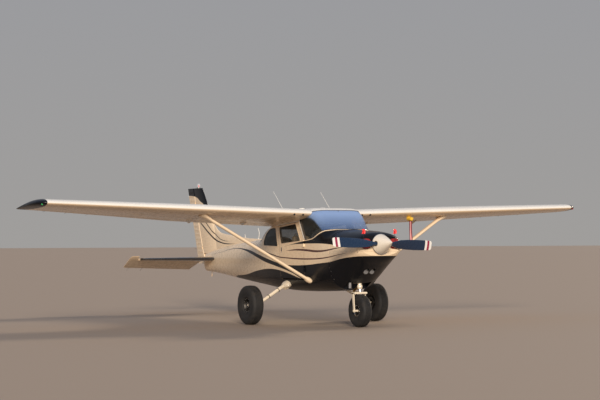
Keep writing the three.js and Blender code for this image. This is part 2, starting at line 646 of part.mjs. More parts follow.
function tips() {
  const at = wingAt(WING.tip);
  const base = wingRing(WING.tip);
  const tail = at.point(1, 1);
  // columns: distance out, how far the front is cut back, how far the rear is, share of the thickness
  const rows = [
    [WING.tip + GAP, 0, 0, 1], [5330, 25, 0, 0.92], [5390, 90, 8, 0.74], [5432, 210, 40, 0.5],
    [WING.halfSpan, 430, 120, 0.2],
  ];
  const rings = rows.map(([x, front, rear, thick]) => base.map(([, s, z]) => {
    const u = (s - at.lead) / (tail[1] - at.lead);
    const middle = mix(at.height, tail[2], u);
    const station = mix(at.lead + front, tail[1] - rear, u);
    const line = mix(at.height, tail[2], (station - at.lead) / (tail[1] - at.lead));
    return [x, station, line + (z - middle) * thick + (x - WING.tip) * WING.dihedral];
  }));
  pair("wing_tip", loft(rings), "black_paint");
}

function struts() {
  const [foot, head] = [STRUT.foot, STRUT.head];
  const ring = (t, chord, depth) => {
    const centre = foot.map((v, k) => mix(v, head[k], t));
    const out = [];
    for (let i = 0; i < 12; i++) {
      const a = (i / 12) * Math.PI * 2;
      out.push(add3(centre, [(-depth / 2) * Math.sin(a) * 0.51, (chord / 2) * Math.cos(a), (depth / 2) * Math.sin(a) * 0.86]));
    }
    return out;
  };
  // columns: share of the length, chord, depth
  const rows = [
    [-0.02, 70, 60], [-0.012, 108, 84], [0.012, 124, 94], [0.034, 118, 86], [0.05, STRUT.chord, STRUT.depth],
    [0.92, STRUT.chord, STRUT.depth], [0.95, 128, 66], [0.985, 180, 86], [1.03, 240, 96],
  ];
  const strut = loft(rows.map(([t, chord, depth]) => ring(t, chord, depth)));
  const wingGrown = loft([WING.root, WING.taper, WING.tip].map((x) => wingRing(x, GAP)));
  const trimmed = cut(strut, wingGrown, cabinGrown);
  pair("wing_strut", trimmed.decompose().sort((a, b) => b.volume() - a.volume())[0], "cream_paint");
}

// Tail

// A section with the same curve on both faces, cut off square at its last share of the chord.
function symmetricRing(place, from, chord, thickness, shares) {
  const upper = shares.map((u) => [u, halfThickness(u, thickness)]);
  const lower = shares.slice(1).reverse().map((u) => [u, -halfThickness(u, thickness)]);
  return [...upper, ...lower].map(([u, v]) => place(from + u * chord, v * chord));
}

function tail() {
  const outer = bodyLoft(TAIL_ROWS);
  const innerRows = TAIL_ROWS.map((row, i) => (i === TAIL_ROWS.length - 1 ? { ...row, station: row.station - 20 } : row));
  const inner = loft(innerRows.map((row, i) => bodyRing(row, TAILCONE_SKIN).map((p) => (i ? p : [p[0], p[1] - 20, p[2]]))));
  const tieDown = block([-6, 6], [5795, 5835], [740, 860]);
  node("tailcone", cut(join(outer, tieDown), inner), "cream_paint");
  finAndRudder();
  stabilisers();
}

function finAndRudder() {
  const shares = [0, 0.02, 0.08, 0.2, 0.4, 0.7, 1];
  const finRing = (row) => {
    const chord = (hingeAt(row.height) - 34 - row.lead) / 0.66;
    return symmetricRing((s, v) => [v, s, row.height], row.lead, chord, FIN.thickness,
      shares.map((u) => u * 0.66));
  };
  const lower = FIN.rows.filter((row) => row.height >= 1250);
  const base = { ...FIN.rows[1], height: FIN.base };
  const fin = loft([base, ...lower].map(finRing));
  // The dorsal fillet. Columns: station, base height, top height, half width
  const dorsal = loft([
    [3330, 1480, 1516, 8], [3600, 1440, 1510, 20], [4070, 1400, 1522, 28], [4650, 1350, 1558, 35],
    [5155, 1300, 1607, 40], [5342, 1280, 1630, 41], [5430, 1270, 1652, 42], [5560, 1250, 1720, 42],
  ].map(([station, low, top, half]) => [
    [-half, station, low], [half, station, low], [half * 0.8, station, mix(low, top, 0.7)],
    [half * 0.4, station, mix(low, top, 0.94)], [0, station, top],
    [-half * 0.4, station, mix(low, top, 0.94)], [-half * 0.8, station, mix(low, top, 0.7)],
  ]));
  const bracketAt = (z) => {
    const hinge = hingeAt(z);
    return join(block([-6, 6], [hinge - 90, hinge], [z - 16, z + 12]), hingeRod(z - 20, z + 20, 12));
  };
  const brackets = FIN.brackets.map(bracketAt);
  node("fin", cut(join(fin, dorsal, ...brackets), tailGrown), "cream_paint");
  const rudderRing = (row) => {
    const finChord = (hingeAt(row.height) - 34 - row.lead) / 0.66;
    const half = Math.max(16, halfThickness(0.66, FIN.thickness) * finChord);
    const hinge = hingeAt(row.height);
    const side = [[0.4 * half, -20], [half, 8], [half * 0.6, row.chord * 0.45], [2, row.chord]];
    return [
      ...side.map(([x, back]) => [x, hinge + back, row.height]),
      ...side.reverse().map(([x, back]) => [-x, hinge + back, row.height]),
    ];
  };
  const notches = FIN.brackets.map((z) => block([-60, 60], [hingeAt(z) - 60, hingeAt(z) + 26], [z - 20 - 8, z + 20 + 8]));
  const knuckles = FIN.brackets.map((z) => hingeRod(z + 20 + GAP, z + 36, 9));
  node("rudder", join(cut(loft(FIN.rows.map(rudderRing)), ...notches), ...knuckles), "cream_paint");
  const top = FIN.rows[FIN.rows.length - 1].height;
  node("beacon", join(rod([0, 6470, top + GAP], [0, 6470, top + 22], 40, 16),
    rod([0, 6470, top + 20], [0, 6470, top + 98], 34, 16, 20)), "red_lens");
}

function hingeAt(z) {
  return FIN.hingeStation + (z - FIN.hingeHeight) * FIN.hingeRake;
}

function hingeRod(z0, z1, radius) {
  return rod([0, hingeAt(z0), z0], [0, hingeAt(z1), z1], radius, 12);
}

function stabilisers() {
  const shares = [0, 0.02, 0.1, 0.25, 0.5, 0.75, 1];
  const at = (x) => {
    const t = (x - STABILISER.root) / (STABILISER.tip - STABILISER.root);
    return mix(STABILISER.rootLead, STABILISER.tipLead, t);
  };
  const rear = STABILISER.hinge - ELEVATOR.noseRadius - ELEVATOR.gap;
  const ring = (x) => {
    const lead = at(x);
    const chord = (rear - lead) / 0.62;
    return symmetricRing((s, v) => [x, s, mix(STABILISER.leadHeight, STABILISER.hingeHeight,
      (s - lead) / (STABILISER.hinge - lead)) + v], lead, chord, STABILISER.thickness,
    shares.map((u) => u * 0.62));
  };
  const axis = [0, STABILISER.hinge, STABILISER.hingeHeight];
  const brackets = ELEVATOR.brackets.map((x) => join(
    block([x - 5, x + 5], [rear - 60, STABILISER.hinge], [STABILISER.hingeHeight - 11, STABILISER.hingeHeight + 11]),
    rod([x - 5, axis[1], axis[2]], [x + 5, axis[1], axis[2]], 16, 12)));
  const half = loft([STABILISER.root, STABILISER.tip].map(ring));
  pair("stabiliser", cut(join(half, ...brackets), tailGrown), "cream_paint");
  elevators(axis);
}

function elevators(axis) {
  const turn = (p) => {
    const [ds, dz] = [p[1] - axis[1], p[2] - axis[2]];
    const [c, s] = [Math.cos(ELEVATOR.droop), Math.sin(ELEVATOR.droop)];
    return [p[0], axis[1] + ds * c + dz * s, axis[2] + dz * c - ds * s];
  };
  const ring = (x, chord, half, nose) => {
    const out = [];
    for (let i = 0; i <= 4; i++) {
      const a = Math.PI / 2 + (i / 4) * Math.PI;
      out.push([x, axis[1] + nose * Math.cos(a), axis[2] + half * Math.sin(a)]);
    }
    out.push([x, axis[1] + chord * 0.5, axis[2] - half * 0.62], [x, axis[1] + chord, axis[2] - 3],
      [x, axis[1] + chord, axis[2] + 3], [x, axis[1] + chord * 0.5, axis[2] + half * 0.62]);
    return out.map(turn);
  };
  const chordAt = (x) => mix(ELEVATOR.rootChord, ELEVATOR.tipChord, (x - ELEVATOR.inner) / (ELEVATOR.outer - ELEVATOR.inner));
  const main = loft([
    ring(ELEVATOR.inner, 60, 27, ELEVATOR.noseRadius), ring(ELEVATOR.inner + 120, chordAt(225), 27, ELEVATOR.noseRadius),
    ring(STABILISER.tip + 2, chordAt(STABILISER.tip), 20, ELEVATOR.noseRadius),
  ]);
  const horn = loft([
    ring(STABILISER.tip + ELEVATOR.gap, chordAt(STABILISER.tip), 22, ELEVATOR.horn),
    ring(ELEVATOR.outer - 40, chordAt(ELEVATOR.outer), 19, ELEVATOR.horn),
    ring(ELEVATOR.outer, chordAt(ELEVATOR.outer) - 30, 8, ELEVATOR.horn - 50)]);
  const bridge = loft([ring(STABILISER.tip, chordAt(STABILISER.tip), 20, ELEVATOR.noseRadius),
    ring(STABILISER.tip + ELEVATOR.gap + 5, chordAt(STABILISER.tip), 20, ELEVATOR.noseRadius)]);
  const notch = (x) => rod([x - 5 - GAP, axis[1], axis[2]], [x + 5 + GAP, axis[1], axis[2]], 46, 20);
  const tube = rod([GAP, axis[1], axis[2]], [ELEVATOR.inner + 10, axis[1], axis[2]], 16, 12);
  const half = cut(join(main, bridge, horn), ...ELEVATOR.brackets.map(notch));
  const pins = ELEVATOR.brackets.flatMap((x) => [
    rod([x + 5 + GAP, axis[1], axis[2]], [x + 20, axis[1], axis[2]], 12, 10)]);
  pair("elevator", join(half, tube, ...pins), "cream_paint");
}

// Landing gear

function tyreProfile(radius, width, rim) {
  const half = width / 2;
  return [
    [rim, -half * 0.62], [rim + (radius - rim) * 0.25, -half * 0.88], [rim + (radius - rim) * 0.55, -half],
    [rim + (radius - rim) * 0.82, -half * 0.88], [rim + (radius - rim) * 0.96, -half * 0.58],
    [radius, -half * 0.28], [radius, half * 0.28], [rim + (radius - rim) * 0.96, half * 0.58],
    [rim + (radius - rim) * 0.82, half * 0.88], [rim + (radius - rim) * 0.55, half],
    [rim + (radius - rim) * 0.25, half * 0.88], [rim, half * 0.62], [rim, -half * 0.62],
  ];
}

function hubProfile(wheel, bore) {
  const half = wheel.width / 2;
  const r = wheel.rim * Math.cos(Math.PI / TYRE_SIDES) - GAP;
  return [
    [bore, -half * 0.42], [r * 0.45, -half * 0.45], [r * 0.5, -half * 0.22], [r * 0.82, -half * 0.26],
    [r * 0.9, -half * 0.64], [r, -half * 0.64], [r, half * 0.64], [r * 0.9, half * 0.64], [r * 0.82, half * 0.26],
    [r * 0.5, half * 0.22], [r * 0.45, half * 0.45], [bore, half * 0.42], [bore, -half * 0.42],
  ];
}

function wheel(name, at, side) {
  const x = at.x * side;
  node("tyre_" + name, wheelRing(tyreProfile(at.radius, at.width, at.rim), x, at.station, at.radius, TYRE_SIDES), "rubber");
  let hub = wheelRing(hubProfile(at, AXLE + GAP), x, at.station, at.radius, 24);
  if (at.x) {
    const bar = (from, to, radius) => rod(
      [x - side * from, at.station, at.radius], [x - side * to, at.station, at.radius], radius, 24);
    hub = join(hub, cut(join(bar(40, 86, 46), bar(78, 86, 104)), bar(0, 120, AXLE + GAP)));
  }
  node("hub_" + name, hub, "wheel_metal");
}

function mainGear() {
  const axle = [MAIN_WHEEL.x, MAIN_WHEEL.station, MAIN_WHEEL.radius];
  const inner = MAIN_WHEEL.x - MAIN_WHEEL.width / 2;
  const elbow = [inner - 34, MAIN_WHEEL.station, MAIN_WHEEL.radius + 12];
  const top = [452, 1590, 735];
  const leg = join(
    rod(top, elbow, 34, 14, 25), rod([elbow[0] + 4, elbow[1], elbow[2] - 12], [axle[0] + 50, axle[1], axle[2]], AXLE, 20),
    rod([elbow[0] - 12, elbow[1], elbow[2] - 10], [elbow[0] + 20, elbow[1], elbow[2] - 10], 52, 16),
    block([elbow[0] - 4, elbow[0] + 30], [elbow[1] + 50, elbow[1] + 135], [elbow[2] - 60, elbow[2] + 40]),
    block([elbow[0] - 8, elbow[0] + 6], [elbow[1], elbow[1] + 90], [elbow[2] - 40, elbow[2] + 20]));
  const fairing = new THREE.SphereGeometry(1, 16, 10);
  fairing.scale(105, 120, 66);
  fairing.rotateY(THREE.MathUtils.degToRad(28));
  fairing.translate(...atStation([492, 1584, 697]).toArray());
  pair("main_gear_leg", cut(join(leg, toSolid(fairing)), cabinGrown), "cream_paint");
  wheel("left", MAIN_WHEEL, 1);
  wheel("right", MAIN_WHEEL, -1);
}

function noseGear() {
  const { station, radius, width } = NOSE_WHEEL;
  const axis = NOSE_AXIS;
  const along = (t) => axis.low.map((v, k) => mix(v, axis.high[k], t));
  node("nose_strut", join(
    rod(along(0.2), along(1), 32, 16),
    block([-40, 40], [-140, -GAP], [900, 960]), block([-30, 30], [-150, -GAP], [745, 800])), "cream_paint");
  const crown = block([-width / 2 - 30, width / 2 + 30], [station - 36, station + 74], [2 * radius + 8, 2 * radius + 42]);
  // columns: height, half width, how far aft of the axle
  const arm = (side) => loft([[2 * radius + 30, 32, 42], [radius + 60, 25, 12], [radius - 26, 25, 0]].map(([z, half, aft]) => {
    const x0 = side * (width / 2 + 12);
    const x1 = side * (width / 2 + 30);
    const [s0, s1] = [station + aft - half, station + aft + half];
    return [[x0, s0, z], [x1, s0, z], [x1, s1, z], [x0, s1, z]];
  }));
  const axle = rod([-width / 2 - 34, station, radius], [width / 2 + 34, station, radius], AXLE, 20);
  const piston = rod(along(0.03), along(0.2).map((v, k) => v - [0, 0.2, GAP][k]), 24, 16);
  // The steering collar on the strut and the two folding links behind it
  const collar = cut(rod(along(0.22), along(0.34), 46, 20), rod(along(0.1), along(0.4), 34, 20));
  const links = join(
    prism([[-150, 570], [30, 574], [44, 588], [30, 602], [-150, 596]], -26, 26),
    prism([[30, 576], [44, 588], [34, 602], [-126, 706], [-128, 680]], -20, 20));
  node("nose_fork", join(crown, arm(1), arm(-1), axle, piston, collar, links), "cream_paint");
  wheel("nose", NOSE_WHEEL, 1);
}

cabin();
doors();
interior();
nose();
propeller();
wings();
struts();
tail();
mainGear();
noseGear();

export default aircraft;
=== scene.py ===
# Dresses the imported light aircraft. Metres, +Z up, the nose along -Y, the left wing along +X.
# Lengths along the aircraft are stations: metres aft of the firewall's front face.
import json
import math

import bmesh
import bpy
import numpy as np
from mathutils import Matrix, Vector

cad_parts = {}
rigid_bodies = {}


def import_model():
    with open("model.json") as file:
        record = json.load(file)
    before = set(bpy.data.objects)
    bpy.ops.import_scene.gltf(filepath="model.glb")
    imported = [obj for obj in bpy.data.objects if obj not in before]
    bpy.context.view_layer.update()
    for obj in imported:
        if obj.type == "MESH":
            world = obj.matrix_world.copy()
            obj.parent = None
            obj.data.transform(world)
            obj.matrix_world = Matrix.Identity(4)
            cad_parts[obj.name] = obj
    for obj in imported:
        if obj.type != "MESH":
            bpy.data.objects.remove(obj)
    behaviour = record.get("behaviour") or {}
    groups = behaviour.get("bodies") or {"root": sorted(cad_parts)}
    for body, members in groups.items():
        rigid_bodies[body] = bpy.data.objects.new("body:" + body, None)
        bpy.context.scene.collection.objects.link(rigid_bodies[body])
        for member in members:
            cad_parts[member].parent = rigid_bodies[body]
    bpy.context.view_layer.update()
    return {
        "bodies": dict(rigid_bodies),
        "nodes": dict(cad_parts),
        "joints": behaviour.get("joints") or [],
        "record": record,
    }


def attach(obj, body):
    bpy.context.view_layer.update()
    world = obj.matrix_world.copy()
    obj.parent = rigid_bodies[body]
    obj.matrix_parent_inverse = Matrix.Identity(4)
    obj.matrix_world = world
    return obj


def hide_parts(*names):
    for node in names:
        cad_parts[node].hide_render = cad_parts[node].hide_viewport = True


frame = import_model()
NODES = frame["nodes"]

bl_info = {
    "name": "Light aircraft",
    "version": (1, 0, 0),
    "blender": (4, 5, 0),
    "location": "View3D > Sidebar > Aircraft",
    "description": "Builds the skins, fittings and finishes of a high-wing light aircraft",
    "category": "Object",
}

FIREWALL_Y = -2.8775
SKIN = 0.04
DOOR_GAP = 0.006
SEAM = 0.0015
PANE_GAP = 0.0005
PROUD = 0.0003  # how far a fitting stands off the surface that it is set on
BEYOND = 0.9  # a distance across that lies outside the body
DOOR_DEPTH = 0.2  # a distance across that lies inside the doors
WINDOW_CORNER, BAGGAGE_CORNER = 0.03, 0.04
SIDES = ((1, "left"), (-1, "right"))

# Hinges: station, distance across, heights of the lower ends, radius, height of a barrel
DOOR_HINGES = (0.862, 0.546, (0.93, 1.37), 0.011, 0.06)
BAGGAGE_HINGES = (2.15, 0.508, (1.01, 1.23), 0.009, 0.04)

# Body sections: station, belly, waist and top heights, half width, upper and lower roundness
COWL_ROWS = [
    (-0.852, 1.228, 1.385, 1.572, 0.385, 2.6, 2.3),
    (-0.820, 1.188, 1.370, 1.604, 0.424, 2.6, 2.3),
    (-0.640, 1.058, 1.330, 1.636, 0.462, 2.7, 2.2),
    (-0.420, 0.908, 1.290, 1.652, 0.488, 2.7, 2.3),
    (-0.200, 0.758, 1.260, 1.661, 0.504, 2.7, 2.5),
    (-0.001, 0.645, 1.250, 1.666, 0.514, 2.7, 2.8),
]
CABIN_ROWS = [
    (0.000, 0.640, 1.250, 1.667, 0.515, 2.7, 2.8),
    (0.120, 0.630, 1.250, 1.690, 0.519, 2.7, 3.1),
    (0.350, 0.612, 1.250, 1.848, 0.524, 3.8, 3.6),
    (0.590, 0.597, 1.250, 2.010, 0.527, 7.0, 4.0),
    (0.760, 0.590, 1.250, 2.052, 0.529, 9.0, 4.2),
    (1.000, 0.582, 1.250, 2.058, 0.530, 8.0, 4.4),
    (1.500, 0.578, 1.250, 1.996, 0.530, 8.0, 4.4),
    (2.000, 0.590, 1.235, 1.862, 0.516, 7.5, 4.2),
    (2.340, 0.604, 1.212, 1.768, 0.494, 7.0, 3.9),
    (2.570, 0.616, 1.193, 1.684, 0.472, 6.0, 3.6),
    (2.750, 0.627, 1.178, 1.612, 0.452, 3.8, 3.4),
    (3.000, 0.642, 1.160, 1.538, 0.425, 2.6, 3.1),
]
TAIL_ROWS = [
    (3.000, 0.642, 1.160, 1.538, 0.425, 2.6, 3.1),
    (3.600, 0.680, 1.120, 1.488, 0.354, 2.4, 2.8),
    (4.600, 0.757, 1.100, 1.410, 0.245, 2.3, 2.5),
    (5.400, 0.823, 1.080, 1.318, 0.160, 2.2, 2.4),
    (6.012, 0.857, 1.040, 1.216, 0.084, 2.2, 2.3),
]

# Side outlines of the panels and windows: station, height
SCREEN_BASE = [(.06, 1.684), (.16, 1.682), (.27, 1.662), (.365, 1.615), (.47, 1.562), (.58, 1.523),
               (.836, 1.492)]
ROOF_FRONT = [(1.04, 1.843), (.976, 1.862), (.812, 1.925), (.7, 1.985), (.606, 2.008), (.56, 2.09)]
DOOR_TOP = [(1.104, 1.815), (1.886, 1.748)]
REAR_GLASS = [(2.412, 1.735), (2.6, 1.56), (2.7, 1.478), (2.94, 1.47)]
WINDSCREEN = SCREEN_BASE + ROOF_FRONT + [(0, 1.8)]
DOOR = [(.868, .8), (.868, 1.5)] + DOOR_TOP + [(1.806, 1.24), (1.79, .8)]
DOOR_WINDOW = [(1.012, 1.478), (1.186, 1.776), (1.832, 1.716), (1.752, 1.424)]
QUARTER = [(1.895, 1.378), (1.99, 1.706), (2.13, 1.708), (2.278, 1.689), (2.427, 1.61), (2.526, 1.48),
           (2.548, 1.39)]
REAR_WINDOW = [(2.412, 1.9)] + REAR_GLASS + [(2.94, 1.7)]
BAGGAGE = [(2.156, .96), (2.156, 1.34), (2.6, 1.31), (2.6, .94)]
BELLY = [(-.01, .5), (3.01, .5), (3.01, .79), (-.01, .79)]
DECK = [(.028, 1.48), (.836, 1.48)] + SCREEN_BASE[::-1] + [(.06, 1.76), (.028, 1.76)]
FRONT_SIDE = [(0, .79), (.9, .79), (.9, 1.5), (1.104, 1.8), DOOR_TOP[0], ROOF_FRONT[0], (.836, 1.492),
              (.836, 1.48), (0, 1.48)]
ROOF_LINE = ROOF_FRONT[::-1] + DOOR_TOP + [REAR_GLASS[0], (2.412, 2.2), (.56, 2.2)]
REAR_SIDE = ([(1.76, .79), (1.776, 1.24), (1.86, 1.749), DOOR_TOP[1]] + REAR_GLASS
             + [(2.94, 1.8), (3.0, 1.8), (3.0, .79)])

# Lower and upper edges of the painted stripes, seen from the side: station, height
BELLY_TOP = [(-.86, 1.226), (-.724, 1.217), (-.422, 1.185), (-.025, 1.119), (.308, 1.091), (.695, 1.061),
             (1.138, 1.044), (1.622, 1.051), (1.881, 1.077), (2.11, 1.11), (2.446, 1.161), (2.82, 1.222),
             (3.243, 1.286), (3.71, 1.322), (4.159, 1.331), (4.562, 1.306), (4.814, 1.274),
             (5.026, 1.245), (5.317, 1.22), (5.6, 1.2)]
BELLY_LINE = [(.9, .78), (1.066, .83), (1.247, .888), (1.521, .947), (1.81, .995), (2.114, 1.039),
              (2.451, 1.085), (2.814, 1.151), (3.221, 1.229), (3.679, 1.294), (4.129, 1.319),
              (4.539, 1.299), (4.814, 1.268), (5.026, 1.24), (5.317, 1.216), (5.6, 1.199)]
BELLY_REAR = [(.9, .8), (1.106, .826), (1.262, .858), (1.523, .906), (1.813, .946), (2.118, .964),
              (2.461, .958), (2.739, .936), (3.055, .902), (3.502, .842), (3.895, .814), (4.238, .795),
              (4.6, .7), (5.0, .5)]
MIDDLE_LINE = [(-.56, 1.274), (-.283, 1.241), (-.004, 1.201), (.296, 1.174), (.705, 1.161),
               (1.166, 1.161), (1.51, 1.171), (1.804, 1.182), (2.103, 1.221), (2.445, 1.268),
               (2.729, 1.314), (3.001, 1.362), (3.42, 1.43)]
MIDDLE_WIDE = [(-.56, .001), (-.2, .014), (.3, .022), (.8, .025), (1.5, .021), (2.1, .022), (2.9, .024),
               (3.2, .012), (3.42, .001)]
UPPER_LINE = [(-.44, 1.376), (-.141, 1.342), (.146, 1.309), (.449, 1.298), (.766, 1.312), (1.095, 1.319),
              (1.319, 1.312), (1.56, 1.296)]
UPPER_WIDE = [(-.44, .001), (-.2, .018), (.2, .03), (.6, .037), (1.1, .028), (1.4, .013), (1.56, .001)]
NOSE_LOW = [(-.86, 1.385), (-.7, 1.378), (-.397, 1.389), (-.007, 1.418), (.305, 1.431), (.608, 1.431),
            (.932, 1.425), (1.335, 1.408), (1.62, 1.37)]
NOSE_TOP = [(-.86, 1.8), (.0, 1.8), (.12, 1.72), (.2, 1.672), (.284, 1.651), (.388, 1.6), (.47, 1.552),
            (.617, 1.503), (.834, 1.476), (1.033, 1.455), (1.335, 1.416), (1.62, 1.372)]
FIN_TOP = [(5.4, 1.96), (5.7, 1.93), (5.8, 1.93), (5.959, 2.06), (6.178, 2.23), (6.33, 2.286),
           (6.445, 2.345), (6.547, 2.376), (6.697, 2.398), (7.05, 2.41)]
FIN_LINE = [(4.66, 1.417), (4.899, 1.41), (5.147, 1.419), (5.351, 1.445), (5.585, 1.495), (5.759, 1.576),
            (5.925, 1.658), (6.109, 1.751), (6.278, 1.835), (6.46, 1.94)]
FIN_WIDE = [(4.66, .001), (5.0, .018), (5.4, .027), (5.8, .036), (6.2, .033), (6.46, .002)]
FIN_LINE_2 = [(4.9, 1.463), (5.188, 1.477), (5.356, 1.511), (5.528, 1.576), (5.699, 1.647),
              (5.849, 1.739), (6.0, 1.833), (6.14, 1.93)]
FIN_WIDE_2 = [(4.9, .001), (5.2, .013), (5.5, .018), (5.8, .024), (6.0, .024), (6.14, .002)]


def at(x, station, z):
    return (x, station + FIREWALL_Y, z)


def turns(count):
    """Angles evenly round a circle."""
    return np.linspace(0, 2 * math.pi, count, endpoint=False)


def column(rows, place, k):
    """A table's column at a place along its first column."""
    return float(np.interp(place, [r[0] for r in rows], [r[k] for r in rows]))


# Shader helpers

class Value:
    """A socket's value, on which Python arithmetic adds Math nodes."""

    def __init__(self, shader, socket):
        self.shader = shader
        self.socket = socket

    def math(self, operation, other=0.0, swap=False):
        first, second = (other, self) if swap else (self, other)
        return self.shader.node("Math", {"operation": operation}, {0: first, 1: second})

    def __add__(self, other):
        return self.math("ADD", other)

    def __sub__(self, other):
        return self.math("SUBTRACT", other)

    def __mul__(self, other):
        return self.math("MULTIPLY", other)

    def __truediv__(self, other):
        return self.math("DIVIDE", other)

    def __rsub__(self, other):
        return self.math("SUBTRACT", other, swap=True)

    def __rtruediv__(self, other):
        return self.math("DIVIDE", other, swap=True)

    __radd__ = __add__
    __rmul__ = __mul__

    def clamp(self):
        return self.shader.node("Clamp", {}, {0: self})


class Shader:
    """One material and its nodes."""

    def __init__(self, name):
        self.material = bpy.data.materials.new(name)
        self.material.use_nodes = True
        self.tree = self.material.node_tree
        self.surface = self.tree.nodes["Principled BSDF"]

    def node(self, kind, settings=None, sockets=None, out=0):
        made = self.tree.nodes.new("ShaderNode" + kind)
        for key, value in (settings or {}).items():
            if key == "stops":
                self.fill_ramp(made.color_ramp, value)
            elif key == "curve":
                self.fill_curve(made.mapping, value)
            else:
                setattr(made, key, value)
        for key, value in (sockets or {}).items():
            self.join(made.inputs[key], value)
        return Value(self, made.outputs[out])

    def join(self, socket, value):
        if isinstance(value, Value):
            self.tree.links.new(value.socket, socket)
        else:
            socket.default_value = value

    def fill_ramp(self, ramp, stops):
        while len(ramp.elements) < len(stops):
            ramp.elements.new(0.5)
        for element, (place, color) in zip(ramp.elements, stops):
            element.position = place
            element.color = color

    def fill_curve(self, mapping, points):
        mapping.use_clip = True
        curve = mapping.curves[0]
        while len(curve.points) < len(points):
            curve.points.new(0.5, 0.5)
        for point, place in zip(curve.points, points):
            point.location = place
        mapping.update()

    def set(self, **sockets):
        for key, value in sockets.items():
            self.join(self.surface.inputs[key.replace("_", " ").title().replace("Ior", "IOR")], value)
        return self

    def place(self):
        """Object coordinates: across, station and height."""
        split = self.node("SeparateXYZ", {}, {0: self.node("TexCoord", {}, {}, out="Object")})
        y = Value(self, split.socket.node.outputs[1])
        z = Value(self, split.socket.node.outputs[2])
        return split, y - FIREWALL_Y, z

    def noise(self, scale, detail=3.0, roughness=0.5, stretch=(1, 1, 1), vector=None):
        coordinates = self.node("TexCoord", {}, {}, out="Object") if vector is None else vector
        stretched = self.node("Mapping", {}, {0: coordinates, "Scale": stretch})
        return self.node("TexNoise", {}, {"Vector": stretched, "Scale": scale, "Detail": detail,
                                          "Roughness": roughness})

    def mix(self, share, first, second):
        made = self.tree.nodes.new("ShaderNodeMix")
        made.data_type = "RGBA"
        self.join(made.inputs[0], share)
        self.join(made.inputs[6], first)
        self.join(made.inputs[7], second)
        return Value(self, made.outputs[2])

    def bump(self, height, distance, strength=1.0, normal=None):
        sockets = {"Height": height, "Distance": distance, "Strength": strength}
        if normal is not None:
            sockets["Normal"] = normal
        return self.node("Bump", {}, sockets)

    def ramp(self, value, low, high, first, second):
        return self.node("MapRange", {"clamp": True}, {0: value, 1: low, 2: high, 3: first, 4: second})


def rgb(color):
    return (*color[:3], 1.0)


def side_curve(shader, station, points, top=1.0):
    """The height of a curve at each station, from points in order of station."""
    start, end = points[0][0], points[-1][0]
    scaled = [((s - start) / (end - start), z / top) for s, z in points]
    along = ((station - start) / (end - start)).clamp()
    return shader.node("FloatCurve", {"curve": scaled}, {"Value": along}) * top


EDGE = 0.0025  # metres over which one paint meets another
CURVE_TOP, STRIPE_TOP = 3.0, 0.05  # what the unit of a height curve and of a width curve stands for
BELLY_GAP = 1.02  # station where the light line across the black belly begins


def above(height, line):
    return ((height - line) / EDGE + 0.5).clamp()


def stripe(shader, station, height, line, wide):
    """One on a stripe along a line, whose width also varies along it."""
    middle = side_curve(shader, station, line, CURVE_TOP)
    half = side_curve(shader, station, [(s, w * 0.5) for s, w in wide], STRIPE_TOP)
    ends = above(station, line[0][0]) * (1.0 - above(station, line[-1][0]))
    distance = (height - middle).math("ABSOLUTE")
    return ((half - distance) / EDGE + 0.5).clamp() * ends


def paint_surface(shader, color, dark=None):
    """Gloss paint on wavy sheet, with faint mottling and dust. Dark is one where the paint is black."""
    mottling = shader.noise(1.3, 4.0)
    dust = shader.noise(9.0, 5.0, 0.6, (1, 1, 2.5))
    base = shader.mix(shader.ramp(mottling, 0.4, 0.8, 0.0, 0.10), color, rgb((0.55, 0.42, 0.26)))
    rough = shader.ramp(dust, 0.3, 0.8, 0.24, 0.34)
    coat = shader.ramp(dust, 0.3, 0.8, 0.5, 0.35)
    if dark is not None:
        base = shader.mix(dark, base, color)
        coat = coat * (1.0 - dark * 0.85)
        rough = rough + dark * 0.04
    wave = shader.bump(shader.noise(2.2, 1.0, 0.3), 0.003, 0.3)
    return shader.set(base_color=base, roughness=rough, coat_weight=coat, coat_roughness=0.08,
                      specular_ior_level=0.22, normal=wave)


def livery(colors):
    """The body's paint: cream with a black belly, a black nose top and thin stripes."""
    shader = Shader("body_livery")
    _, station, height = shader.place()

    def over(points):
        return above(height, side_curve(shader, station, points, CURVE_TOP))

    belly = (1.0 - over(BELLY_TOP)) * (1.0 - above(station, BELLY_TOP[-1][0]))
    gap = (1.0 - over(BELLY_LINE)) * over(BELLY_REAR) * above(station, BELLY_GAP)
    nose = over(NOSE_LOW) * (1.0 - over(NOSE_TOP)) * (1.0 - above(station, NOSE_LOW[-1][0]))
    fin = over(FIN_TOP) * above(station, FIN_TOP[0][0])
    black = belly * (1.0 - gap) + nose + fin
    for line, wide in ((FIN_LINE, FIN_WIDE), (FIN_LINE_2, FIN_WIDE_2)):
        black = black + stripe(shader, station, height, line, wide)
    maroon = (stripe(shader, station, height, MIDDLE_LINE, MIDDLE_WIDE)
              + stripe(shader, station, height, UPPER_LINE, UPPER_WIDE))
    rear = shader.ramp(station, 1.6, 2.4, 0.0, 1.0)
    stripe_color = shader.mix(rear, rgb(colors.maroon), rgb(colors.black))
    painted = shader.mix(maroon.clamp(), rgb(colors.cream), stripe_color)
    painted = shader.mix(black.clamp(), painted, rgb(colors.black))
    return paint_surface(shader, painted, black.clamp()).material


def plain_paint(name, color):
    return paint_surface(Shader(name), rgb(color), 1.0 if max(color) < 0.1 else None).material


def metal(name, color, rough=0.35, grain=(1, 1, 30)):
    shader = Shader(name)
    streaks = shader.noise(90.0, 4.0, 0.6, grain)
    stains = shader.noise(9.0, 4.0, 0.6)
    shader.set(base_color=shader.mix(shader.ramp(stains, 0.4, 0.8, 0.0, 0.35), rgb(color),
                                     rgb([c * 0.55 for c in color])))
    shader.set(metallic=1.0, roughness=shader.ramp(streaks, 0.3, 0.7, rough * 0.8, rough * 1.4))
    shader.set(normal=shader.bump(streaks, 0.0003, 0.3))
    return shader.material


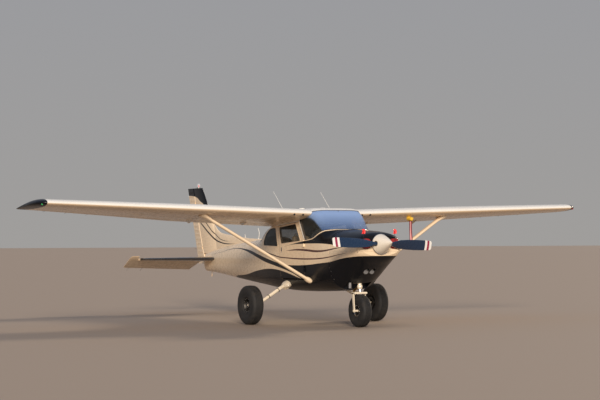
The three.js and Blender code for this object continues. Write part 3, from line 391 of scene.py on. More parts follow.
def plastic(name, color, rough=0.6, grain=350.0):
    shader = Shader(name)
    cells = shader.node("TexVoronoi", {}, {"Vector": shader.node("TexCoord", {}, {}, out="Object"),
                                           "Scale": grain})
    wear = shader.noise(6.0, 4.0)
    shader.set(base_color=shader.mix(shader.ramp(wear, 0.4, 0.8, 0.0, 0.3), rgb(color),
                                     rgb([c * 1.5 + 0.01 for c in color])))
    shader.set(roughness=shader.ramp(wear, 0.3, 0.7, rough, rough * 1.2),
               normal=shader.bump(cells, 0.0004, 0.35))
    return shader.material


def rubber(name):
    shader = Shader(name)
    dust = shader.noise(11.0, 6.0, 0.65)
    grain = shader.noise(260.0, 3.0)
    shader.set(base_color=shader.mix(shader.ramp(dust, 0.42, 0.75, 0.0, 0.45), rgb((0.012, 0.012, 0.013)),
                                     rgb((0.06, 0.052, 0.042))))
    shader.set(roughness=shader.ramp(dust, 0.3, 0.7, 0.62, 0.9), normal=shader.bump(grain, 0.0004, 0.4))
    return shader.material


def glass(name, color, alpha=0.3, haze=0.12):
    shader = Shader(name)
    film = shader.noise(2.5, 4.0)
    shader.set(base_color=shader.mix(shader.ramp(film, 0.4, 0.8, 0.0, haze), rgb(color),
                                     rgb((0.75, 0.78, 0.8))))
    shader.set(roughness=shader.ramp(film, 0.4, 0.8, 0.02, 0.08), specular_ior_level=0.12,
               alpha=shader.ramp(film, 0.3, 0.8, alpha, alpha + 0.06))
    return shader.material


# Mesh helpers

def smooth_rows(rows, station):
    """The section at a station, on smooth curves through the rows that never overshoot."""
    table = np.array(rows, float)
    s = table[:, 0]
    station = min(max(station, s[0]), s[-1])
    i = min(int(np.searchsorted(s, station, "right")) - 1, len(s) - 2)
    steps = np.diff(s)
    slopes = np.diff(table, axis=0) / steps[:, None]

    def tangent(k):
        if k == 0:
            return slopes[0]
        if k == len(s) - 1:
            return slopes[-1]
        a, b = slopes[k - 1], slopes[k]
        w1, w2 = 2 * steps[k] + steps[k - 1], steps[k] + 2 * steps[k - 1]
        safe = np.where(a * b > 0, a * b, 1.0)
        return np.where(a * b > 0, (w1 + w2) * safe / (w1 * b + w2 * a + 1e-12), 0.0)

    h = steps[i]
    t = (station - s[i]) / h
    value = ((1 + 2 * t) * (1 - t) ** 2 * table[i] + t * (1 - t) ** 2 * h * tangent(i)
             + t * t * (3 - 2 * t) * table[i + 1] + t * t * (t - 1) * h * tangent(i + 1))
    value[0] = station
    return value


def section_point(row, angle, inset=0.0):
    _, belly, waist, top, half, upper, lower = row
    s, c = math.sin(angle), math.cos(angle)
    power = 2 / (upper if s >= 0 else lower)
    reach = top - inset - waist if s >= 0 else waist - belly - inset
    bulge = lambda v: math.copysign(abs(v) ** power, v)
    return ((half - inset) * bulge(c), waist + reach * bulge(s))


def section_ring(row, inset=0.0, quarter=24):
    """Points evenly round a body section, the same count in each quarter."""
    ring = []
    for q in range(4):
        fine = [section_point(row, (q + k / 160) * math.pi / 2, inset) for k in range(161)]
        fine = np.array(fine)
        run = np.concatenate([[0], np.cumsum(np.hypot(*np.diff(fine, axis=0).T))])
        for want in np.linspace(0, run[-1], quarter, endpoint=False):
            ring.append((float(np.interp(want, run, fine[:, 0])), row[0],
                         float(np.interp(want, run, fine[:, 1]))))
    return ring


def stations_of(rows, step=0.045):
    out = []
    for a, b in zip(rows, rows[1:]):
        count = max(1, round((b[0] - a[0]) / step))
        out += [a[0] + (b[0] - a[0]) * k / count for k in range(count)]
    return out + [rows[-1][0]]


def new_object(name, verts, faces):
    mesh = bpy.data.meshes.new(name)
    mesh.from_pydata([tuple(v) for v in verts], [], faces)
    mesh.validate()
    obj = bpy.data.objects.new(name, mesh)
    bpy.context.scene.collection.objects.link(obj)
    return obj


def outward(obj):
    work = bmesh.new()
    work.from_mesh(obj.data)
    bmesh.ops.remove_doubles(work, verts=work.verts, dist=1e-5)
    bmesh.ops.recalc_face_normals(work, faces=work.faces)
    work.to_mesh(obj.data)
    work.free()
    return obj


def loft(name, rings, closed=True, caps=True):
    """A skin through rings of (across, station, height) points."""
    count = len(rings[0])
    verts = [at(*p) for ring in rings for p in ring]
    faces = []
    for r in range(len(rings) - 1):
        for i in range(count if closed else count - 1):
            j = (i + 1) % count
            faces.append((r * count + i, (r + 1) * count + i, (r + 1) * count + j, r * count + j))
    if caps:
        faces.append(tuple(range(count)))
        faces.append(tuple((len(rings) - 1) * count + i for i in reversed(range(count))))
    return outward(new_object(name, verts, faces))


def prism(name, outline, x0, x1):
    rings = [[(x, s, z) for s, z in outline] for x in (x0, x1)]
    return loft(name, rings)


def block(name, x, s, z):
    return prism(name, [(s[0], z[0]), (s[1], z[0]), (s[1], z[1]), (s[0], z[1])], x[0], x[1])


def baked(obj):
    """Applies an object's modifiers."""
    graph = bpy.context.evaluated_depsgraph_get()
    graph.update()
    mesh = bpy.data.meshes.new_from_object(obj.evaluated_get(graph), depsgraph=graph)
    obj.modifiers.clear()
    obj.data = mesh
    return obj


def drop(*objects):
    for obj in objects:
        bpy.data.objects.remove(obj)


def boolean(obj, tool, operation="DIFFERENCE", keep=False):
    modifier = obj.modifiers.new("cut", "BOOLEAN")
    modifier.operation = operation
    modifier.solver = "EXACT"
    modifier.object = tool
    baked(obj)
    if not keep:
        drop(tool)
    return obj


def copy_of(obj, name):
    made = obj.copy()
    made.data = obj.data.copy()
    made.name = name
    bpy.context.scene.collection.objects.link(made)
    return made


def joined(name, objects):
    """One object from several."""
    work = bmesh.new()
    for obj in objects:
        work.from_mesh(obj.data)
    mesh = bpy.data.meshes.new(name)
    work.to_mesh(mesh)
    work.free()
    drop(*objects)
    made = bpy.data.objects.new(name, mesh)
    bpy.context.scene.collection.objects.link(made)
    return made


def shrunk(outline, distance):
    area = sum(a[0] * b[1] - b[0] * a[1] for a, b in zip(outline, outline[1:] + outline[:1]))
    turn = math.copysign(1, area)
    sides = []
    for (s, z), (s2, z2) in zip(outline, outline[1:] + outline[:1]):
        length = math.hypot(s2 - s, z2 - z)
        nx, nz = -(z2 - z) / length * turn, (s2 - s) / length * turn
        sides.append((s + nx * distance, z + nz * distance, s2 - s, z2 - z))
    out = []
    for before, side in zip(sides[-1:] + sides[:-1], sides):
        cross = before[2] * side[3] - before[3] * side[2]
        t = ((side[0] - before[0]) * side[3] - (side[1] - before[1]) * side[2]) / cross
        out.append((before[0] + before[2] * t, before[1] + before[3] * t))
    return out


def moved(outline, ds, dz):
    return [(s + ds, z + dz) for s, z in outline]


def rounded(outline, radius, steps=5):
    """An outline with its corners rounded, less where its sides are short."""
    out = []
    n = len(outline)
    for i in range(n):
        p, a, b = (Vector(outline[k]) for k in (i, i - 1, (i + 1) % n))
        u, v = (a - p), (b - p)
        r = min(radius, u.length * 0.45, v.length * 0.45)
        u, v = p + u.normalized() * r, p + v.normalized() * r
        for k in range(steps + 1):
            t = k / steps
            q = u * (1 - t) ** 2 + p * 2 * t * (1 - t) + v * t * t
            out.append((q.x, q.y))
    return out


def shaded(obj, degrees=32):
    mesh = obj.data
    mesh.polygons.foreach_set("use_smooth", [True] * len(mesh.polygons))
    mesh.set_sharp_from_angle(angle=math.radians(degrees))
    return obj


def piece(obj, body, materials, replaces=(), smooth=32):
    """Finishes one piece: shading, material, what it rides on and what it stands for."""
    if not isinstance(materials, (list, tuple)):
        materials = [materials]
    for k, name in enumerate(materials):
        if k < len(obj.data.materials):
            obj.data.materials[k] = finish(name)
        else:
            obj.data.materials.append(finish(name))
    if smooth:
        shaded(obj, smooth)
    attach(obj, body)
    if replaces:
        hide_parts(*replaces)
    return obj


FINISHES = {}
PLAIN_FINISHES = {
    "trim": (plastic, "cabin_trim", (0.17, 0.125, 0.09)),
    "dash": (plastic, "instrument_panel_plastic", (0.02, 0.02, 0.022)),
    "seal": (plastic, "rubber_seal", (0.012, 0.012, 0.012), 0.7),
    "seat": (plastic, "seat_leather", (0.55, 0.42, 0.26), 0.55, 160.0),
    "foam": (plastic, "red_foam", (0.3, 0.02, 0.02), 0.85, 500.0),
    "flag": (plastic, "red_marker", (0.75, 0.02, 0.02), 0.4, 700.0),
    "cover": (plastic, "yellow_cover", (0.8, 0.5, 0.05), 0.75, 260.0),
    "webbing": (plastic, "belt_webbing", (0.75, 0.7, 0.55), 0.8, 900.0),
    # The quarter windows' glass is near black and mostly opaque: painted shade of the dark cabin behind it.
    "glass": (glass, "window_glass", (0.010, 0.012, 0.014), 0.72, 0.05),
    "door_glass": (glass, "door_glass", (0.05, 0.045, 0.03), 0.26),
    "lens": (glass, "clear_lens", (0.8, 0.85, 0.9), 0.3),
    "red_lens": (glass, "red_lens", (0.45, 0.015, 0.015), 0.8),
    "green_lens": (glass, "green_lens", (0.02, 0.5, 0.12), 0.8),
    "steel": (metal, "brushed_steel", (0.55, 0.54, 0.52), 0.3),
    "chrome": (metal, "polished_steel", (0.75, 0.74, 0.72), 0.18),
    # The hubs' metal is the casting's grey made very dark: painted shade, as the wheels sit in shade.
    "aluminium": (metal, "cast_aluminium", (0.08, 0.076, 0.072), 0.5, (1, 1, 1)),
    "brass": (metal, "plated_links", (0.62, 0.42, 0.16), 0.35, (1, 1, 1)),
    "engine": (metal, "engine_casting", (0.35, 0.35, 0.36), 0.5, (1, 1, 1)),
    "rubber": (rubber, "tyre_rubber"),
}


def finish(name):
    """A material by its plain name, made the first time that it is wanted."""
    if name not in FINISHES:
        colors = bpy.context.scene.aircraft_colors
        if name == "body":
            FINISHES[name] = livery(colors)
        elif name in PLAIN_FINISHES:
            kind, *values = PLAIN_FINISHES[name]
            FINISHES[name] = kind(*values)
        else:
            FINISHES[name] = plain_paint(name + "_paint", getattr(colors, name))
    return FINISHES[name]


def carry_over(node, name):
    """Gives a CAD node that is shown as it is its finish."""
    obj = NODES[node]
    obj.data.materials.clear()
    obj.data.materials.append(finish(name))


# Body skins

def section_normal(rows, x, station, z):
    def field(px, ps, pz):
        _, belly, waist, top, half, upper, lower = smooth_rows(rows, ps)
        power, reach = (upper, top - waist) if pz >= waist else (lower, waist - belly)
        return abs(px / half) ** power + abs((pz - waist) / reach) ** power

    e = 1e-4
    slope = [field(x + e, station, z) - field(x - e, station, z),
             field(x, station + e, z) - field(x, station - e, z),
             field(x, station, z + e) - field(x, station, z - e)]
    return Vector(slope).normalized()


def on_side(rows, station, z, side=1, out=0.0):
    """The body's surface point at a station and height, as (across, station, height)."""
    _, belly, waist, top, half, upper, lower = smooth_rows(rows, station)
    power, reach = (upper, top - waist) if z >= waist else (lower, waist - belly)
    share = min(1.0, abs((z - waist) / reach))
    x = side * half * (1 - share ** power) ** (1 / power)
    z = min(max(z, belly), top)
    n = section_normal(rows, x, station, z)
    return Vector((x, station, z)) + n * out


# Lines on surfaces, and what is set along them by Geometry Nodes

class Growth:
    """A Geometry Nodes tree with named sizes, whose result is made a plain mesh."""

    def __init__(self, name, **sizes):
        self.tree = bpy.data.node_groups.new(name, "GeometryNodeTree")
        face = self.tree.interface
        face.new_socket("Lines", in_out="INPUT", socket_type="NodeSocketGeometry")
        face.new_socket("Result", in_out="OUTPUT", socket_type="NodeSocketGeometry")
        self.sizes = {}
        for label, value in sizes.items():
            kind = "NodeSocketInt" if isinstance(value, int) else "NodeSocketFloat"
            self.sizes[label] = (face.new_socket(label, in_out="INPUT", socket_type=kind).identifier, value)
        self.given = self.tree.nodes.new("NodeGroupInput").outputs

    def node(self, kind, settings=None, sockets=None, out=0):
        made = self.tree.nodes.new(kind)
        for key, value in (settings or {}).items():
            setattr(made, key, value)
        for key, value in (sockets or {}).items():
            if isinstance(value, bpy.types.NodeSocket):
                self.tree.links.new(value, made.inputs[key])
            else:
                made.inputs[key].default_value = value
        return made.outputs[out]

    def up(self):
        """The surface's normal, which each point of the lines carries."""
        return self.node("GeometryNodeInputNamedAttribute", {"data_type": "FLOAT_VECTOR"}, {"Name": "up"})

    def heads(self, points, head):
        """One head on each point, standing on the surface."""
        turn = self.node("FunctionNodeAlignRotationToVector", {"axis": "Z"}, {"Vector": self.up()})
        return self.node("GeometryNodeInstanceOnPoints", {},
                         {"Points": points, "Instance": head, "Rotation": turn})

    def grown(self, lines, result, material):
        """Ends the tree in realized instances and their material, and makes lines into that plain mesh."""
        real = self.node("GeometryNodeRealizeInstances", {}, {0: result})
        dressed = self.node("GeometryNodeSetMaterial", {}, {"Geometry": real, "Material": finish(material)})
        self.node("GeometryNodeSetShadeSmooth", {}, {0: dressed, 2: True})
        ends = self.tree.nodes.new("NodeGroupOutput")
        self.tree.links.new(dressed, ends.inputs[0])
        modifier = lines.modifiers.new("growth", "NODES")
        modifier.node_group = self.tree
        for key, value in self.sizes.values():
            modifier[key] = value
        return baked(lines)


def line_object(name, paths, closed=False):
    """A mesh of lines; a path is a list of (point, normal), as (across, station, height)."""
    verts, ups, edges = [], [], []
    for path in paths:
        first = len(verts)
        verts += [at(*point) for point, _ in path]
        ups += [tuple(up) for _, up in path]
        edges += [(k, k + 1) for k in range(first, len(verts) - 1)]
        if closed:
            edges.append((len(verts) - 1, first))
    mesh = bpy.data.meshes.new(name)
    mesh.from_pydata(verts, edges, [])
    normals = mesh.attributes.new("up", "FLOAT_VECTOR", "POINT")
    normals.data.foreach_set("vector", [c for up in ups for c in up])
    obj = bpy.data.objects.new(name, mesh)
    bpy.context.scene.collection.objects.link(obj)
    return obj


def fasteners(name, paths, material, pitch=0.038, radius=0.0032, height=0.0012, sides=6):
    """Domed heads, evenly spaced along paths."""
    growth = Growth(name + "_tree", Pitch=pitch, Radius=radius, Height=height, Sides=sides)
    given = growth.given
    curve = growth.node("GeometryNodeMeshToCurve", {}, {0: given["Lines"]})
    spaced = growth.node("GeometryNodeResampleCurve", {"mode": "LENGTH"},
                         {"Curve": curve, "Length": given["Pitch"]})
    top = growth.node("ShaderNodeMath", {"operation": "MULTIPLY"}, {0: given["Radius"], 1: 0.5})
    head = growth.node("GeometryNodeMeshCone", {}, {
        "Vertices": given["Sides"], "Radius Top": top, "Radius Bottom": given["Radius"],
        "Depth": given["Height"]})
    return growth.grown(line_object(name, paths), growth.heads(spaced, head), material)


def hexagons(name, paths, radius, height):
    """Six-sided bolt heads at the points of paths."""
    growth = Growth(name + "_tree", Radius=radius, Height=height)
    given = growth.given
    points = growth.node("GeometryNodeMeshToPoints", {}, {"Mesh": given["Lines"]})
    head = growth.node("GeometryNodeMeshCylinder", {},
                       {"Vertices": 6, "Radius": given["Radius"], "Depth": given["Height"]})
    return growth.grown(line_object(name, paths), growth.heads(points, head), "steel")


def strips(name, paths, material, width, height, closed=True):
    """Rounded mouldings that lie on a surface along paths."""
    growth = Growth(name + "_tree", Width=width, Height=height)
    given = growth.given
    curve = growth.node("GeometryNodeMeshToCurve", {}, {0: given["Lines"]})
    turned_up = growth.node("GeometryNodeSetCurveNormal", {"mode": "FREE"},
                            {"Curve": curve, "Normal": growth.up()})
    circle = growth.node("GeometryNodeCurvePrimitiveCircle", {}, {"Resolution": 10, "Radius": 0.5})
    size = growth.node("ShaderNodeCombineXYZ", {}, {0: given["Height"], 1: given["Width"], 2: 1.0})
    profile = growth.node("GeometryNodeTransform", {}, {"Geometry": circle, "Scale": size})
    tube = growth.node("GeometryNodeCurveToMesh", {},
                       {"Curve": turned_up, "Profile Curve": profile, "Fill Caps": True})
    return growth.grown(line_object(name, paths, closed), tube, material)


def body_path(rows, outline, side=1, out=0.0, closed=False, step=0.03):
    """Points and normals on the body under a side outline, close enough to lie on it."""
    def spot(s, z):
        point = on_side(rows, s, z, side)
        up = section_normal(rows, *point)
        return point + up * out, up

    path = []
    for (s0, z0), (s1, z1) in zip(outline, outline[1:] + (outline[:1] if closed else [])):
        pending, last = [(1.0, 0)], spot(s0, z0)
        if not path:
            path.append(last)
        begin = 0.0
        while pending:
            t, depth = pending[-1]
            there = spot(s0 + (s1 - s0) * t, z0 + (z1 - z0) * t)
            if (there[0] - last[0]).length > step and depth < 9:
                pending.append(((begin + t) / 2, depth + 1))
            else:
                pending.pop()
                path.append(there)
                begin, last = t, there
    return path[:-1] if closed else path


def over_body(rows, outline, out=0.0):
    """The same, from the left side over the middle to the right side."""
    left = body_path(rows, outline, 1, out)
    right = body_path(rows, outline, -1, out)
    return right[::-1] + left[1:]


def wing_path(us, xs, side, out=PROUD, surface=None):
    """Points and normals on a wing's upper or lower face, at shares of the chord and distances across."""
    surface = surface or (lambda u, x: wing_at(x)[4](u, side))
    path = []
    for u, x in zip(us, xs):
        e = 0.002
        along = Vector(surface(u + e, x)) - Vector(surface(u - e, x))
        across = Vector(surface(u, x + e)) - Vector(surface(u, x - e))
        up = across.cross(along).normalized()
        up = up if up.z * side > 0 else -up
        path.append((Vector(surface(u, x)) + up * out, up))
    return path


def body_loft(name, rows, inset=0.0, stretch=0.0, step=0.045):
    rings = [section_ring(smooth_rows(rows, s), inset) for s in stations_of(rows, step)]
    if stretch:
        rings[0] = [(x, s - stretch, z) for x, s, z in rings[0]]
        rings[-1] = [(x, s + stretch, z) for x, s, z in rings[-1]]
    return loft(name, rings)


def line_inner(obj, rows, depth):
    """Gives the inner side of a wall its second material."""
    for face in obj.data.polygons:
        c = face.center
        station = c.y - FIREWALL_Y
        _, belly, waist, top, half, upper, lower = smooth_rows(rows, station)
        power, reach = (upper, top - depth - waist) if c.z >= waist else (lower, waist - belly - depth)
        inside = abs(c.x / (half - depth)) ** power + abs((c.z - waist) / reach) ** power < 1
        face.material_index = 1 if inside and station > 0.03 else 0


def hinge_barrels(hinges, side, leaf):
    """The barrels and straps of a door's hinges that belong to its leaf or to its frame."""
    station, x, heights, radius, height = hinges
    x *= side
    parts = []
    for low in heights:
        z = low + (height + 0.0005 if leaf else 0.0)
        profile = [(0, z), (radius * 0.8, z), (radius, z + 0.003), (radius, z + height - 0.003),
                   (radius * 0.8, z + height), (0, z + height)]
        parts.append(turned("barrel", profile, 20, (x, station)))
        reach = 0.026 if leaf else -0.022
        parts.append(block("strap", sorted((x - side * 0.04, x - side * 0.002)),
                           sorted((station, station + reach)), (z + 0.004, z + height - 0.004)))
    return joined("hinges", parts)


def turned(name, profile, count, centre):
    """A solid of revolution about the upright line through a centre, from (radius, height) points."""
    rings = []
    for radius, z in profile:
        radius = max(radius, 1e-5)
        rings.append([(centre[0] + radius * math.cos(a), centre[1] + radius * math.sin(a), z)
                      for a in turns(count)])
    return loft(name, rings)


def spun(name, profile, centre, axis, count=24):
    """A solid of revolution about an axis through a centre, from (radius, distance along the axis) points."""
    centre, axis = Vector(centre), Vector(axis).normalized()
    side = axis.orthogonal().normalized()
    up = axis.cross(side)
    rings = []
    for radius, along in profile:
        radius = max(radius, 1e-5)
        rings.append([tuple(centre + axis * along + (side * math.cos(t) + up * math.sin(t)) * radius)
                      for t in turns(count)])
    return loft(name, rings)


def button(name, place, up, radius, height, count=20):
    """A flat round head with a soft edge, standing on a surface."""
    return spun(name, [(0, 0.0003), (radius, 0.0003), (radius, height * 0.6), (radius * 0.86, height),
                       (0, height)], place, up, count)


def plate_on(name, rows, outline, side, low, high):
    """A plate that hugs the body under a side outline."""
    rings = [[tuple(on_side(rows, s, z, side, out)) for s, z in outline] for out in (low, high)]
    return loft(name, rings)


def build_cabin():
    outer = body_loft("cabin_shell", CABIN_ROWS)
    inner = body_loft("cabin_space", CABIN_ROWS, SKIN, 0.01)
    boolean(inner, block("front_limit", (-1, 1), (0.028, 3.2), (0, 2.6)), "INTERSECT")
    glazing = body_loft("glass_outer", CABIN_ROWS, 0.004)
    boolean(glazing, body_loft("glass_inner", CABIN_ROWS, 0.010, 0.01))
    boolean(outer, inner)
    doors = [prism("door_hole", DOOR, side * DOOR_DEPTH, side * BEYOND) for side in (1, -1)]
    openings = [prism("window_hole", line, -BEYOND, BEYOND)
                for line in (rounded(QUARTER, WINDOW_CORNER), WINDSCREEN, REAR_WINDOW)]
    quarter, screen, rear = openings
    skin = ["body", "trim"]

    def panel(name, outline, x0, x1, cuts):
        made = copy_of(outer, name)
        boolean(made, prism("panel", shrunk(outline, SEAM), x0, x1), "INTERSECT")
        for tool in cuts:
            boolean(made, tool, keep=True)
        line_inner(made, CABIN_ROWS, 0.02)
        return made

    piece(panel("belly_skin", BELLY, -BEYOND, BEYOND, []), "airframe", skin, ["belly_pan"])
    piece(panel("cowl_deck_skin", DECK, -BEYOND, BEYOND, [screen]), "airframe", skin,
          ["cowl_deck"])
    piece(panel("roof_skin", ROOF_LINE, -BEYOND, BEYOND, [screen, rear, quarter] + doors), "airframe",
          ["white", "trim"], ["roof"])
    for side, word in SIDES:
        near, far = side * DOOR_DEPTH, side * BEYOND
        front = panel("front_side_skin_" + word, FRONT_SIDE, 0, far, [screen] + doors)
        front = joined("front_side_skin_" + word, [front, hinge_barrels(DOOR_HINGES, side, False)])
        piece(front, "airframe", skin, ["front_side_" + word])
        cuts = [quarter, rear] + doors
        if side > 0:
            cuts.append(prism("baggage_hole", rounded(BAGGAGE, BAGGAGE_CORNER), near, far))
        back = panel("rear_side_skin_" + word, REAR_SIDE, 0, far, cuts)
        if side > 0:
            drop(cuts[-1])
            back = joined("rear_side_skin_left", [back, hinge_barrels(BAGGAGE_HINGES, side, False)])
        piece(back, "airframe", skin, ["rear_side_" + word])
        # Doors, with their windows
        window = prism("window_hole", rounded(DOOR_WINDOW, WINDOW_CORNER), near, far)
        door = panel("door_skin_" + word, shrunk(DOOR, DOOR_GAP - SEAM), near, far, [window])
        door = joined("door_skin_" + word, [door, hinge_barrels(DOOR_HINGES, side, True)])
        drop(window)
        piece(door, "cabin_door_" + word, skin, ["door_" + word])
        pane(glazing, "door_pane_" + word, rounded(shrunk(DOOR_WINDOW, PANE_GAP), WINDOW_CORNER), near, far,
             "cabin_door_" + word, "door_window_" + word, "door_glass")
        pane(glazing, "quarter_pane_" + word, rounded(shrunk(QUARTER, PANE_GAP), WINDOW_CORNER),
             near / 2, far, "airframe", "quarter_window_" + word)
    leaf_outline = rounded(shrunk(BAGGAGE, DOOR_GAP - SEAM), BAGGAGE_CORNER)
    leaf = panel("baggage_door_skin", leaf_outline, DOOR_DEPTH, BEYOND, [])
    leaf = joined("baggage_door_skin", [leaf, hinge_barrels(BAGGAGE_HINGES, 1, True)])
    piece(leaf, "baggage_door", skin, ["baggage_door"])
    pane(glazing, "windscreen_pane", shrunk(WINDSCREEN, PANE_GAP), -BEYOND, BEYOND, "airframe",
         "windscreen", "screen")
    pane(glazing, "rear_pane", shrunk(REAR_WINDOW, PANE_GAP), -BEYOND, BEYOND, "airframe", "rear_window",
         "screen")
    drop(outer, glazing, *doors, *openings)


def pane(glazing, name, outline, x0, x1, body, node, material="glass"):
    made = copy_of(glazing, name)
    boolean(made, prism("panel", outline, x0, x1), "INTERSECT")
    return piece(made, body, material, [node])


# Wings

def painted_shade_below(obj):
    """Gives the second finish, a cream tone darkened with painted shade, to the faces that look down."""
    for face in obj.data.polygons:
        face.material_index = 1 if face.normal.z < -0.3 else 0
    return obj


WING_ROOT, WING_TAPER, WING_TIP, HALF_SPAN = 0.33, 2.54, 5.267, 5.46
ROOT_CHORD, TIP_CHORD = 1.626, 1.12
ROOT_LEAD, TIP_LEAD = 0.66, 0.8
ROOT_HEIGHT, DIHEDRAL = 1.949, math.tan(math.radians(1.73))
ROOT_PITCH, TIP_PITCH = math.radians(8.0), math.radians(5.1)
FLAP_SPAN, FLAP_CUT = (0.64, 2.53), 0.7
AILERON_SPAN = ((2.6, 1.99), (5.04, 1.712))
BEAD_PITCH, BEAD_HEIGHT = 0.085, 0.0035
BAY_REAR = 2.5  # a station behind the trailing edge
FLAP_BRACKETS, FLAP_CHORD_PLACE = (1.25, 2.3), 1.5
WING_THICKNESS = 0.12
STRUT_END, STRUT_TIE_HEIGHT = 2.44, 1.83


def half_thickness(u, t):
    """Half the height of a section of thickness t at a share u of its chord, with a thin open tail."""
    bow = 0.2969 * math.sqrt(u) - 0.126 * u - 0.3516 * u ** 2 + 0.2843 * u ** 3 - 0.1036 * u ** 4
    return 5 * t * bow + 0.0012 * u


def camber(u):
    return 0.02 * (5 * u - 6.25 * u * u) if u < 0.4 else 0.02 / 0.36 * (0.2 + 0.8 * u - u * u)


def wing_at(x):
    """The wing's chord, pitch and a function of its surface, at one distance from the centreline."""
    t = max(0.0, (x - WING_TAPER) / (WING_TIP - WING_TAPER))
    twist = (x - WING_ROOT) / (WING_TIP - WING_ROOT)
    chord = ROOT_CHORD + (TIP_CHORD - ROOT_CHORD) * t
    pitch = ROOT_PITCH + (TIP_PITCH - ROOT_PITCH) * twist
    lead = ROOT_LEAD + (TIP_LEAD - ROOT_LEAD) * t
    height = ROOT_HEIGHT + x * DIHEDRAL

    def point(u, side, off=0.0):
        v = camber(u) + side * half_thickness(u, WING_THICKNESS) + side * off / chord
        return (x, lead + chord * (u * math.cos(pitch) + v * math.sin(pitch)),
                height + chord * (v * math.cos(pitch) - u * math.sin(pitch)))

    return chord, pitch, lead, height, point


def wing_ring(x, off=0.0):
    point = wing_at(x)[4]
    shares = [s * s * (3 - 2 * s) if s < 1 else 1 for s in np.linspace(0, 1, 27)]
    shares = [u ** 1.2 for u in shares]
    return [point(u, 1, off) for u in shares] + [point(u, -1, off) for u in shares[-1:0:-1]]


def bead(place, pitch=BEAD_PITCH):
    """How far a pressed bead stands up, at a place along the row of beads."""
    offset = (place % pitch) / pitch - 0.5
    return BEAD_HEIGHT * math.exp(-(offset / 0.17) ** 2)


def beaded_stations(start, end, pitch=BEAD_PITCH, margin=0.03):
    """Places along a control surface, close together where its beads are."""
    count = max(1, round((end - start - 2 * margin) / pitch))
    step = (end - start - 2 * margin) / count
    inner = [(start + margin + step * (k + f), k + f) for k in range(count)
             for f in (0, .22, .34, .42, .5, .58, .66, .78)]
    return ([(start, 0.0), (start + margin * 0.5, 0.0)] + [(x, f % 1) for x, f in inner]
            + [(end - margin, 0.0), (end, 0.0)])


def surface_ring(x, lead_share, nose, rise):
    """A wing control surface's section, with its beads standing up by rise behind the spar."""
    point = wing_at(x)[4]
    top, low = point(lead_share, 1), point(lead_share, -1)
    mid = ((top[1] + low[1]) / 2, (top[2] + low[2]) / 2)
    half = math.hypot(top[1] - low[1], top[2] - low[2]) / 2
    shares = np.linspace(lead_share, 1.0, 9)

    def lift(u):
        t = (u - lead_share) / (1 - lead_share)
        return rise * min(1.0, max(0.0, (t - 0.1) / 0.08)) * min(1.0, max(0.0, (0.96 - t) / 0.08))

    front = [(x, mid[0] - nose * math.cos(a), mid[1] + half * math.sin(a))
             for a in np.linspace(-math.pi / 2, math.pi / 2, 9)[1:-1]]
    return [point(u, 1, lift(u)) for u in shares] + [point(u, -1, lift(u)) for u in shares[::-1]] + front


def mirrored(obj, name):
    made = copy_of(obj, name)
    made.data.transform(Matrix.Scale(-1, 4, (1, 0, 0)))
    made.data.flip_normals()
    return made


def both(obj, base, body, materials, node, smooth=32):
    """Finishes a left piece and its mirror image on the right."""
    other = mirrored(obj, base + "_right")
    obj.name = base + "_left"
    for made, word in ((obj, "_left"), (other, "_right")):
        piece(made, body if body in ("airframe", "elevator") else body + word, materials,
              [node + word] if node else [], smooth)
    return obj, other


def flap_axis(x):
    """Station and height of the flap's hinge line."""
    low = wing_at(FLAP_CHORD_PLACE)[4](FLAP_CUT + 0.03, -1)
    return low[1], low[2] - 0.028 + (x - FLAP_CHORD_PLACE) * DIHEDRAL


def flap_front():
    return wing_at(FLAP_CHORD_PLACE)[4](FLAP_CUT, 1)[1]


